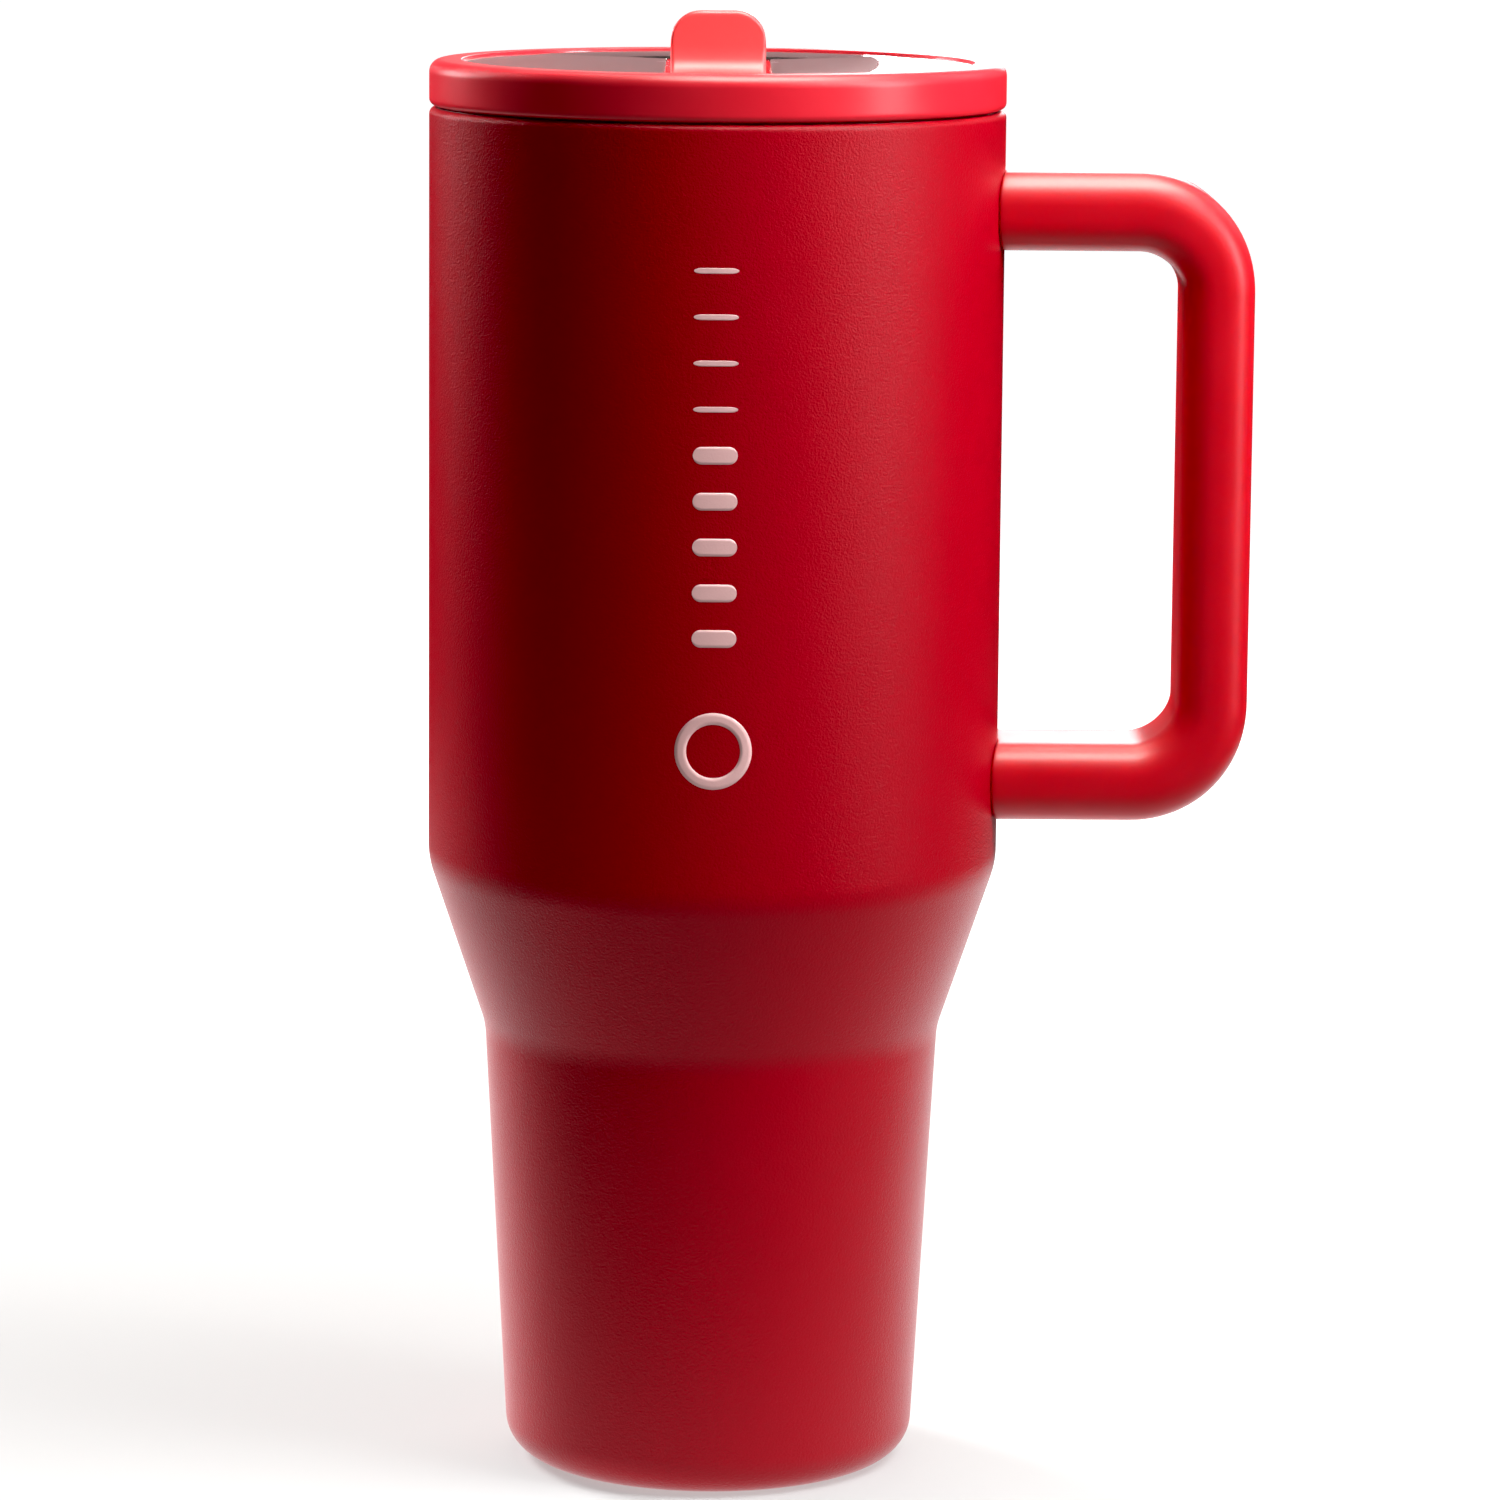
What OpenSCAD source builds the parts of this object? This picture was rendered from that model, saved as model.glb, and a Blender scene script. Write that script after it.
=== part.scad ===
// Insulated travel mug: double-wall steel cup, D handle on welded brackets, and a push-in
// lid with a flip-up straw spout.  Millimetres, +Z up.
// Origin: centre of the foot, on the surface the mug stands on.  The handle is on +X and
// the tip of the closed spout points along -Y.

/* [Cup] */
// Outer diameter of the upper body
body_d = 101; // [92:0.5:122]
// Outer diameter at the waist, under the cone
waist_d = 80.8; // [70:0.2:90]
// Outer diameter of the foot, before its edge is rounded
foot_d = 72.3; // [60:0.1:78]
// Height of the brim
cup_h = 241.3; // [200:0.1:300]
// Height of the waist
waist_h = 78.5; // [60:0.5:92]
// Height of the shoulder, above the cone
shoulder_h = 108.4; // [96:0.2:140]
// Radius that softens the waist and the shoulder
cone_blend = 15; // [4:1:20]
// Radius of the edge of the foot
foot_blend = 7; // [3:0.5:9]
// Radius of the outer edge of the brim
brim_blend = 1.2; // [0.9:0.05:1.6]
// Thickness of the outer wall
shell_t = 0.6; // [0.4:0.1:0.9]
// Thickness of the inner wall
liner_t = 0.5; // [0.4:0.1:0.8]
// Vacuum space between the two walls
vacuum_gap = 3.4; // [2:0.1:4.5]
// Height of the cup's inner floor
floor_h = 8; // [6:0.5:14]

/* [Handle] */
// Room for the fingers, from the body to the grip
finger_gap = 30.8; // [22:0.2:45]
// Thickness of the handle bar
bar_t = 13.2; // [12.4:0.1:18]
// Width of the handle bar
bar_w = 26; // [20:0.5:32]
// Radius of the long edges of the bar
bar_round = 5.5; // [3:0.5:6]
// Distance from the brim down to the top of the upper arm
handle_drop = 10.5; // [6:0.5:25]
// Height of the middle of the lower arm above the shoulder
handle_rise = 15.2; // [12:0.2:30]
// Radius of the bends, at the middle of the bar
bend_r = 14.2; // [10:0.2:24]
// Thickness of the soft skin over the rigid core
skin_t = 2.2; // [1.5:0.1:3]

/* [Handle fixing] */
// Length of the bracket's tongue
tongue_l = 16; // [14:0.5:19]
// Width of the tongue
tongue_w = 9; // [6.5:0.5:11]
// Thickness of the tongue
tongue_t = 4; // [3:0.1:4.4]
// Diameter of the handle screws
screw_d = 3; // [2:0.5:4]
// Diameter of the screw heads
screw_head_d = 5.6; // [5:0.1:7]
// Height of the screw heads
screw_head_h = 1.6; // [1:0.1:1.8]

/* [Lid] */
// Height of the lid from its seat to its top
lid_h = 8; // [7.4:0.1:12]
// Width of the coloured ring seen from above
ring_w = 5.7; // [5:0.1:9]
// Radius of the ring's upper outer edge
ring_blend = 2.2; // [0.5:0.1:3]
// Depth of the window below the top of the ring
window_drop = 0.4; // [0.2:0.1:2]
// Thickness of the window
window_t = 2.2; // [1.6:0.1:3]
// Depth of the plug skirt below the seat
skirt_h = 12; // [10:0.5:18]
// Wall of the plug skirt
skirt_t = 2.5; // [2.2:0.1:4]
// Height of the gasket
gasket_h = 4.6; // [3.5:0.1:6]

/* [Spout] */
// Width of the spout
spout_w = 16.4; // [14:0.1:22]
// Radius of the hinge barrel
barrel_r = 5.2; // [4.8:0.1:6]
// Place of the hinge behind the lid's centre
hinge_back = 7; // [2:0.5:12]
// Room in the trough in front of the tip
tip_room = 3.5; // [1.5:0.1:6]
// Height of the finger tab above the window
tab_h = 9.9; // [6:0.1:16]
// Distance from the hinge to the front of the tab
tab_reach = 27.4; // [22:0.1:30]
// Thickness of the tab
tab_t = 2.4; // [1.6:0.1:4]
// Radius of the tab's upper corners
tab_round = 5.2; // [2:0.1:7]
// Diameter of the drinking channel
channel_d = 6.4; // [4:0.1:7]
// Diameter of the stub pins of the hinge
pin_d = 3; // [2:0.1:4]

/* [Straw] */
// Outer diameter of the straw
straw_d = 10; // [8.6:0.1:12.5]
// Wall of the straw
straw_t = 1.2; // [0.6:0.1:1.3]
// Gap between the end of the straw and the cup's floor
straw_gap = 4; // [2:0.5:20]
// Length of the port that holds the straw
port_l = 14; // [8:0.5:20]

/* [Clearances] */
// Gap between parts that move against each other
run_gap = 0.3; // [0.2:0.05:0.5]
// Radial gap of parts that are pressed or moulded together
fit_gap = 0.05; // [0.02:0.01:0.1]

/* [Hidden] */

// Facets of round surfaces, and of each rounded corner of an outline
round_fn = 144;
corner_steps = 8;
// How far a cutting shape runs past the face that it opens
past = 1;

// Cup
body_r = body_d / 2;
waist_r = waist_d / 2;
foot_r = foot_d / 2;
wall_t = shell_t + vacuum_gap + liner_t;
mouth_r = body_r - wall_t;
seam_inset = 0.35;
seam_r = body_r - brim_blend - seam_inset;
foot_lip_w = 2.6;
foot_lip_r = foot_r - foot_blend - foot_lip_w;
mouth_blend = 0.5;
step_blend = 0.4;
pan_r = foot_r - foot_blend - shell_t;
evac_hole_r = 1.5;
bead_h = 0.4;
getter_r = 4;
getter_h = 1.5;

// Handle
grip_x = body_r + finger_gap + bar_t / 2;
upper_z = cup_h - handle_drop - bar_t / 2;
lower_z = shoulder_h + handle_rise;
arms = [upper_z, lower_z];
core_inset = skin_t + fit_gap;
bracket_t = 1.2;
plate_room = 0.2;
screw_inset = 6;
screw_x = body_r + tongue_l - screw_inset;
thread_gap = 0.4;
head_wall = 1.2;
head_seat = bar_t / 2 - skin_t - head_wall;
plug_room = 0.2;
plug_r = screw_head_d / 2 + plug_room;

// Lid
lid_seat = cup_h + run_gap;
lid_top = lid_seat + lid_h;
window_top = lid_top - window_drop;
ring_in_r = body_r - ring_w;
window_r = ring_in_r - fit_gap;
window_seal_t = 0.8;
window_seal_inset = 0.6;
ledge_z = window_top - window_t - window_seal_t;
skirt_gap = 1.6;
skirt_r = mouth_r - skirt_gap;
skirt_in_r = skirt_r - skirt_t;
gasket_rise = 3.3;
gasket_z = lid_seat - skirt_h + gasket_rise;
groove_depth = 1.2;
groove_room = 0.1;

// Spout and trough
hinge_z = window_top - barrel_r;
trough_t = 1.9;
trough_side_gap = 0.8;
trough_gap = 0.4;
trough_border = 8.3;
trough_half_w = spout_w / 2 + trough_side_gap;
trough_front = window_r - trough_border;
trough_back = hinge_back + barrel_r + trough_gap;
trough_floor = hinge_z - barrel_r - trough_gap;
floor_t = 2.4;
tip_y = -trough_front + tip_room;
spout_l = hinge_back - tip_y;
channel_wall = 1.2;
belly = channel_d / 2 + channel_wall;
pin_room = 0.2;
pin_half = trough_half_w + trough_t;
tab_foot_drop = 0.8;
tab_foot_round = 5;
tip_drop = 1.8;
tip_round = 2.5;
tip_low_round = 1.5;

// Straw, its port and the air vent
straw_r = straw_d / 2;
flow_r = straw_r - straw_t;
port_top = trough_floor - floor_t;
port_low = port_top - port_l;
socket_t = 1.2;
socket_r = straw_r + fit_gap + socket_t;
port_t = 1.6;
port_r = socket_r + fit_gap + port_t;
straw_top = port_top - run_gap;
straw_low = floor_h + straw_gap;
seat_w = 1.7;
seat_r = flow_r + seat_w;
seat_drop = 1.2;
vent_behind_tab = 6;
vent_y = hinge_back - tab_reach + vent_behind_tab;
vent_hole_r = 2;
vent_flange_r = 3.5;
vent_flange_t = 0.8;
vent_wall = 0.8;
vent_stud_h = 0.7;
vent_stud_edge = 0.5;

// Unit vector of v
function unit(v) = v / norm(v);

// Corner q between the points p and s, rounded to the radius q[2]
function corner(p, q, s) =
    let (
        a = unit([p[0] - q[0], p[1] - q[1]]),
        b = unit([s[0] - q[0], s[1] - q[1]]),
        half = acos(a * b) / 2,
        reach = q[2] / tan(half),
        middle = unit(a + b) * q[2] / sin(half),
        turn = 180 - 2 * half,
        first = a * reach - middle,
        last = b * reach - middle
    )
    [for (i = [0 : corner_steps])
        let (t = i / corner_steps * turn)
        [q[0], q[1]] + middle + (first * sin(turn - t) + last * sin(t)) / sin(turn)];

// Closed outline through points [x, y, radius]
function outline(points) =
    let (n = len(points))
    [for (i = [0 : n - 1])
        each points[i][2] > 0
            ? corner(points[(i + n - 1) % n], points[i], points[(i + 1) % n])
            : [[points[i][0], points[i][1]]]];

// Side of the cup, moved inwards by inset, from the foot up to the height top
function cup_side(inset, low, top) = [
    [foot_r - inset, low, max(foot_blend - inset, 1)],
    [waist_r - inset, waist_h, cone_blend],
    [body_r - inset, shoulder_h, cone_blend],
    [body_r - inset, top, 0]
];

function reversed(list) = [for (i = [len(list) - 1 : -1 : 0]) list[i]];

module turned(points) {
    rotate_extrude($fn = round_fn) polygon(outline(points));
}

module disc(r, low, high) {
    translate([0, 0, low]) cylinder(h = high - low, r = r, $fn = round_fn);
}

module tube(r_out, r_in, low, high) {
    difference() {
        disc(r_out, low, high);
        disc(r_in, low - past, high + past);
    }
}

// Rectangle with round corners, centred
module rounded_rect(w, h, r) {
    square([w - 2 * r, h], center = true);
    square([w, h - 2 * r], center = true);
    for (x = [-1, 1], y = [-1, 1])
        translate([x * (w / 2 - r), y * (h / 2 - r)]) circle(r = r, $fn = 48);
}

// Cylinder of radius r lying along X, between x0 and x1, on the hinge axis
module hinge_rod(r, x0, x1) {
    translate([x0, hinge_back, hinge_z]) rotate([0, 90, 0])
        cylinder(h = x1 - x0, r = r, $fn = 72);
}

// ---------------------------------------------------------------- cup

// Powder-coated outer wall, turned in under the foot and at the brim
module outer_shell() {
    step_z = cup_h - liner_t;
    color("firebrick") turned(concat(
        [[foot_lip_r, 0, 0]],
        [[foot_r, 0, foot_blend]],
        [[waist_r, waist_h, cone_blend]],
        [[body_r, shoulder_h, cone_blend]],
        [[body_r, cup_h, brim_blend]],
        [[seam_r, cup_h, 0], [seam_r, step_z, 0]],
        [[mouth_r + liner_t + fit_gap, step_z, 0]],
        [[mouth_r + liner_t + fit_gap, step_z - shell_t, 0]],
        [[body_r - shell_t, step_z - shell_t, step_blend]],
        [[body_r - shell_t, shoulder_h, cone_blend]],
        [[waist_r - shell_t, waist_h, cone_blend]],
        [[foot_r - shell_t, shell_t, foot_blend - shell_t]],
        [[foot_lip_r, shell_t, 0]]
    ));
}

// Steel disc that lies on the turned-in foot and closes the vacuum space
module base_pan() {
    color("silver") tube(pan_r, evac_hole_r, shell_t, shell_t + liner_t);
}

// Bead that plugs the evacuation hole from below
module vacuum_seal() {
    color("gray") {
        disc(evac_hole_r - fit_gap, shell_t, shell_t + liner_t);
        disc(2 * evac_hole_r, shell_t - bead_h, shell_t);
    }
}

// Pellet that keeps the vacuum clean, fixed on the pan inside the vacuum space
module getter() {
    color("dimgray") translate([pan_r / 2, 0, 0])
        disc(getter_r, shell_t + liner_t, shell_t + liner_t + getter_h);
}

// Bare steel inner wall; its flange lies in the step of the outer wall's brim
module inner_liner() {
    outside = wall_t - liner_t;
    color("lightgray") turned(concat(
        [[0, floor_h - liner_t, 0]],
        cup_side(outside, floor_h - liner_t, cup_h - liner_t),
        [[seam_r - fit_gap, cup_h - liner_t, 0], [seam_r - fit_gap, cup_h, 0]],
        [[mouth_r, cup_h, mouth_blend]],
        reversed(cup_side(wall_t, floor_h, cup_h - liner_t - past)),
        [[0, floor_h, 0]]
    ));
}

// ---------------------------------------------------------------- handle

// Cross-section of the bar, thickness along x and width along y
module bar_section(inset) {
    rounded_rect(bar_t - 2 * inset, bar_w - 2 * inset, bar_round - inset);
}

// Solid D-shaped bar that runs from the cup's axis round the grip and back
module handle_bar(inset) {
    bend_x = grip_x - bend_r;
    for (z = arms)
        translate([0, 0, z]) rotate([90, 0, 90])
            linear_extrude(bend_x) rotate(90) bar_section(inset);
    translate([grip_x, 0, lower_z + bend_r])
        linear_extrude(upper_z - lower_z - 2 * bend_r) bar_section(inset);
    translate([bend_x, 0, upper_z - bend_r]) bend(inset);
    translate([bend_x, 0, lower_z + bend_r]) mirror([0, 0, 1]) bend(inset);
}

// Quarter turn from the grip, at the bend's +X side, up to the arm
module bend(inset) {
    rotate([90, 0, 0]) rotate_extrude(angle = 90, $fn = round_fn)
        translate([bend_r, 0]) bar_section(inset);
}

// Vertical rod at the screw of each arm, between two heights below the arm's middle
module screw_rods(r, from, to) {
    for (z = arms)
        translate([screw_x, 0, z - to]) cylinder(h = to - from, r = r, $fn = 48);
}

// Soft skin, its arms saddle-cut to the body
module handle_skin() {
    color("crimson") difference() {
        handle_bar(0);
        handle_bar(skin_t);
        disc(body_r + fit_gap, 0, cup_h);
        screw_rods(plug_r + fit_gap, bar_t / 2 - skin_t - past, bar_t / 2 + past);
    }
}

// Rigid core with a socket for each tongue and a counterbored hole for each screw
module handle_core() {
    color("darkred") difference() {
        handle_bar(core_inset);
        disc(body_r + bracket_t + run_gap, 0, cup_h);
        for (z = arms)
            translate([body_r, -tongue_w / 2 - fit_gap, z - tongue_t / 2 - fit_gap])
                cube([tongue_l + run_gap, tongue_w + 2 * fit_gap, tongue_t + 2 * fit_gap]);
        screw_rods(screw_d / 2 + fit_gap, 0, bar_t / 2);
        screw_rods(plug_r + fit_gap, head_seat, bar_t / 2);
    }
}

// Steel saddle welded to the outer wall, with the tongue that carries one arm
module bracket(z) {
    plate_h = bar_t - 2 * core_inset - 2 * plate_room;
    plate_w = bar_w - 2 * bar_round + 2 * plate_room;
    color("silver") difference() {
        union() {
            intersection() {
                tube(body_r + bracket_t, body_r + fit_gap, z - plate_h / 2, z + plate_h / 2);
                translate([0, -plate_w / 2, z - plate_h])
                    cube([2 * body_r, plate_w, 2 * plate_h]);
            }
            translate([body_r + bracket_t / 2, -tongue_w / 2, z - tongue_t / 2])
                cube([tongue_l - bracket_t / 2, tongue_w, tongue_t]);
        }
        translate([screw_x, 0, z - bar_t / 2])
            cylinder(h = bar_t, r = screw_d / 2 + fit_gap, $fn = 48);
    }
}

module upper_bracket() {
    bracket(upper_z);
}

module lower_bracket() {
    bracket(lower_z);
}

// One screw from below through each arm's core into its tongue
module handle_screws() {
    color("gainsboro") difference() {
        union() {
            screw_rods(screw_d / 2, -tongue_t / 2 + thread_gap, head_seat);
            screw_rods(screw_head_d / 2, head_seat, head_seat + screw_head_h);
        }
        for (z = arms)
            translate([screw_x, 0, z - head_seat - screw_head_h - past])
                cylinder(h = past + screw_head_h / 2, r = screw_d / 3, $fn = 6);
    }
}

// Plugs that close the screw holes, flush with the underside of the arms
module screw_plugs() {
    color("crimson")
        screw_rods(plug_r, head_seat + screw_head_h + fit_gap, bar_t / 2);
}

// ---------------------------------------------------------------- lid

// Silicone gasket with two lips that wipe the mouth of the liner
module lid_gasket() {
    in_r = skirt_r - groove_depth + run_gap;
    lip_r = mouth_r - run_gap;
    web_r = skirt_r + run_gap + groove_room;
    lip_t = gasket_h / 4;
    lip_round = 0.25;
    web_round = 0.2;
    color("mistyrose") turned([
        [in_r, gasket_z, 0],
        [web_r, gasket_z, 0],
        [lip_r, gasket_z + 0.5 * lip_t, lip_round],
        [lip_r, gasket_z + lip_t, lip_round],
        [web_r, gasket_z + 1.5 * lip_t, web_round],
        [web_r, gasket_z + 2.5 * lip_t, web_round],
        [lip_r, gasket_z + 3 * lip_t, lip_round],
        [lip_r, gasket_z + 3.5 * lip_t, lip_round],
        [web_r, gasket_z + gasket_h, 0],
        [in_r, gasket_z + gasket_h, 0]
    ]);
}

// Coloured ring with the window's ledge, the brim seat and the grooved plug skirt
module lid_ring() {
    groove_r = skirt_r - groove_depth;
    groove_top = gasket_z + gasket_h + groove_room;
    edge = 0.5;
    lead_in = 0.8;
    color("tomato") turned([
        [skirt_in_r, lid_seat - skirt_h, edge],
        [skirt_r, lid_seat - skirt_h, lead_in],
        [skirt_r, gasket_z, 0],
        [groove_r, gasket_z, 0],
        [groove_r, groove_top, 0],
        [skirt_r, groove_top, 0],
        [skirt_r, lid_seat, edge],
        [body_r, lid_seat, brim_blend],
        [body_r, lid_top, ring_blend],
        [ring_in_r, lid_top, window_drop / 2],
        [ring_in_r, ledge_z, 0],
        [skirt_in_r, ledge_z, edge]
    ]);
}

// Silicone ring between the ledge and the window
module window_seal() {
    color("white")
        tube(ring_in_r - fit_gap, skirt_in_r + window_seal_inset, ledge_z, ledge_z + window_seal_t);
}

// Plan of the trough, grown by the margin, its back corners nearly square round the barrel
module trough_plan(margin) {
    width = 2 * (trough_half_w + margin);
    length = trough_front + trough_back;
    front_round = 4;
    back_round = 0.6;
    translate([0, (trough_back - trough_front) / 2])
        rounded_rect(width, length + 2 * margin, front_round + margin);
    translate([0, trough_back - length / 4])
        rounded_rect(width, length / 2 + 2 * margin, back_round + margin);
}

// Clear window with the spout's trough, the hinge's pin holes, the straw port and the vent
module lid_window() {
    color([0.72, 0.6, 0.6, 0.5]) difference() {
        union() {
            disc(window_r, window_top - window_t, window_top);
            translate([0, 0, port_top])
                linear_extrude(window_top - past - port_top) trough_plan(trough_t);
            translate([0, hinge_back, 0]) disc(port_r, port_low, port_top + past);
        }
        translate([0, 0, trough_floor])
            linear_extrude(window_top - trough_floor + past) trough_plan(0);
        translate([0, hinge_back, 0]) {
            disc(flow_r, port_low, trough_floor + past);
            disc(seat_r + fit_gap, trough_floor - seat_drop, trough_floor + past);
            disc(socket_r + fit_gap, port_low - past, port_top);
        }
        hinge_rod(pin_d / 2 + fit_gap, -pin_half - past, pin_half + past);
        translate([0, vent_y, 0]) {
            disc(vent_hole_r + fit_gap, port_top - past, trough_floor + past);
            disc(vent_flange_r + fit_gap, trough_floor - vent_flange_t, trough_floor + past);
        }
    }
}

// Stub pins pressed through the trough's walls into the spout's barrel
module spout_pins() {
    color("gainsboro") for (side = [0, 1])
        mirror([side, 0, 0]) hinge_rod(pin_d / 2, belly + pin_room, pin_half);
}

// Silicone seat of the straw port, hollowed to the hinge barrel
module spout_seal() {
    top = hinge_z - belly - run_gap;
    color("mistyrose") difference() {
        translate([0, hinge_back, 0]) tube(seat_r, flow_r, trough_floor - seat_drop, top);
        hinge_rod(barrel_r + run_gap, -barrel_r - seat_r, barrel_r + seat_r);
    }
}

// Duckbill valve that lets air into the cup
module vent_valve() {
    bill_l = 3;
    bill_r = 1.2;
    color("mistyrose") translate([0, vent_y, 0]) rotate_extrude($fn = 48) polygon([
        [vent_wall, trough_floor],
        [vent_flange_r, trough_floor],
        [vent_flange_r, trough_floor - vent_flange_t],
        [vent_hole_r, trough_floor - vent_flange_t],
        [vent_hole_r, port_top],
        [bill_r, port_top - bill_l],
        [0, port_top - bill_l],
        [0, port_top - bill_l + vent_wall],
        [vent_wall, port_top]
    ]);
}

// Silicone sleeve that grips the straw in the port, flanged under the port's end
module straw_socket() {
    color("mistyrose") translate([0, hinge_back, 0]) {
        tube(socket_r, straw_r + fit_gap, port_low, straw_top);
        tube(port_r, straw_r + fit_gap, port_low - socket_t, port_low);
    }
}

// Drinking straw, its ends rounded
module straw() {
    edge = straw_t / 3;
    color("lightpink") translate([0, hinge_back, 0]) turned([
        [flow_r, straw_low, edge],
        [straw_r, straw_low, edge],
        [straw_r, straw_top, edge],
        [flow_r, straw_top, edge]
    ]);
}

// ---------------------------------------------------------------- spout

// Side view of the arm, the tip and the finger tab, from the hinge axis (0, 0) towards -Y
function spout_side() = outline([
    [0, barrel_r, 0],
    [tab_t - tab_reach, barrel_r, tab_t / 2],
    [tab_t - tab_reach, barrel_r + tab_h, tab_t / 3],
    [-tab_reach, barrel_r + tab_h, tab_t / 3],
    [-tab_reach, barrel_r - tab_foot_drop, tab_foot_round],
    [-spout_l, barrel_r - tip_drop, tip_round],
    [-spout_l, -belly, tip_low_round],
    [0, -belly, 0]
]);

// Flip-up spout: barrel, drinking channel and finger tab
module spout() {
    half_w = spout_w / 2;
    color("tomato") difference() {
        union() {
            hinge_rod(barrel_r, -half_w, half_w);
            intersection() {
                translate([-half_w, hinge_back, hinge_z]) rotate([90, 0, 90])
                    linear_extrude(spout_w) polygon(spout_side());
                linear_extrude(2 * lid_top) translate([0, tip_y + spout_l])
                    rounded_rect(spout_w, 2 * spout_l, tab_round);
                translate([0, hinge_back + past, hinge_z + barrel_r + tab_h - lid_top])
                    rotate([90, 0, 0]) linear_extrude(2 * spout_l)
                        translate([0, lid_top / 2]) rounded_rect(spout_w, lid_top, tab_round);
            }
        }
        translate([0, hinge_back + 2 * barrel_r, hinge_z]) rotate([90, 0, 0])
            cylinder(h = 2 * spout_l, r = channel_d / 2, $fn = 72);
        hinge_rod(pin_d / 2 + fit_gap, belly, spout_w);
        hinge_rod(pin_d / 2 + fit_gap, -spout_w, -belly);
        translate([0, vent_y, 0])
            disc(vent_hole_r / 2 + fit_gap, hinge_z - belly - past,
                hinge_z - belly + vent_stud_h + 2 * fit_gap);
    }
}

// Silicone stud under the spout that lies over the vent when the spout is closed
module vent_plug() {
    color("mistyrose") translate([0, vent_y, 0]) {
        disc(vent_flange_r - vent_stud_edge, trough_floor + run_gap, hinge_z - belly);
        disc(vent_hole_r / 2, hinge_z - belly, hinge_z - belly + vent_stud_h);
    }
}

outer_shell();
base_pan();
vacuum_seal();
getter();
inner_liner();
handle_skin();
handle_core();
upper_bracket();
lower_bracket();
handle_screws();
screw_plugs();
lid_gasket();
lid_ring();
lid_window();
window_seal();
spout_pins();
spout_seal();
vent_valve();
straw_socket();
straw();
spout();
vent_plug();
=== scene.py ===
import math

import bmesh
import bpy
from mathutils import Matrix, Vector


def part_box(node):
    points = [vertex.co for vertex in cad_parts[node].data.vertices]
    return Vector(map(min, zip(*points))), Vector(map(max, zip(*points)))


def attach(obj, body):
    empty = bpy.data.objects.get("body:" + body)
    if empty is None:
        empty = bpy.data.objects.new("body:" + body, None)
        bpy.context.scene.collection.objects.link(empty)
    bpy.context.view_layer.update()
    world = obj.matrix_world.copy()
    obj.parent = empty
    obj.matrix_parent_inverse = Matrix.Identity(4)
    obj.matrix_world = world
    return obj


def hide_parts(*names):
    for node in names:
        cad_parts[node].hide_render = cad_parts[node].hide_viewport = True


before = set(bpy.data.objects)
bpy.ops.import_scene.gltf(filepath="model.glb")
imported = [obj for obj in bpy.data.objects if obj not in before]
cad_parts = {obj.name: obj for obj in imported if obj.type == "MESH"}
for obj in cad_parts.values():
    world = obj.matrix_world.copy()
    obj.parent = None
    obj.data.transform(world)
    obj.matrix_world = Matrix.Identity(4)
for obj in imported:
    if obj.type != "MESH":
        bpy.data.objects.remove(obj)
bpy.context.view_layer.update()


# ---------------------------------------------------------------- outer wall
# A drawn steel tube of 0.6 mm, necked in below to drop into a cup holder and rolled in at the
# foot and the brim.  It is sprayed with red powder and baked, which leaves a satin, finely
# pebbled skin.

wall_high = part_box("outer_shell")[1]
body_r = wall_high.x
brim_z = wall_high.z
foot_r = 0.03615
foot_edge = 0.007
foot_lip_r = 0.02655
waist_r = 0.0404
waist_z = 0.0785
shoulder_z = 0.1084
cone_blend = 0.015
brim_edge = 0.0012
brim_fold = 0.0004
wall_t = 0.0006
seam_inset = 0.00035
seam_r = body_r - brim_edge - seam_inset
# The mouth and the lid's skirt are worked from the flange of the inner wall, although the
# part's own mouth is 2.9 mm smaller in radius
flange_r = -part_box("inner_liner")[0].x
liner_t = 0.0005
vacuum_gap = 0.0034

turn_segments = 192
weld_gap = 1e-6
sharp_angle = math.radians(35)
# Coat colours: painted shade in the hollows between specks, painted sparkle on their tops
coat_shaded_hollows = (0.33, 0.0, 0.006)
coat_lit_speck_tops = (0.40, 0.002, 0.012)
pebble_size = 0.00042
pebble_h = 0.00012
speck_size = 0.00018
speck_h = 0.00006


def add(tree, kind, inputs=None, **settings):
    """New node of a tree; an input is given as a number, a colour or the socket that feeds it."""
    node = tree.nodes.new(kind)
    for key, value in settings.items():
        setattr(node, key, value)
    for key, value in (inputs or {}).items():
        if isinstance(value, bpy.types.NodeSocket):
            tree.links.new(value, node.inputs[key])
        else:
            node.inputs[key].default_value = value
    return node


def maths(tree, operation, first, second=0.0):
    """Result of one sum in a tree."""
    return add(tree, "ShaderNodeMath", {0: first, 1: second}, operation=operation).outputs[0]


def new_tree(name, kind, inputs, outputs):
    """Empty node group with named sockets, given as {name: type} or {name: (type, value)}."""
    tree = bpy.data.node_groups.new(name, kind)
    for in_out, sockets in (("INPUT", inputs), ("OUTPUT", outputs)):
        for label, given in sockets.items():
            socket_type, *value = given if isinstance(given, tuple) else (given,)
            socket = tree.interface.new_socket(
                label, in_out=in_out, socket_type="NodeSocket" + socket_type
            )
            if value:
                socket.default_value = value[0]
    return tree


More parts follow.
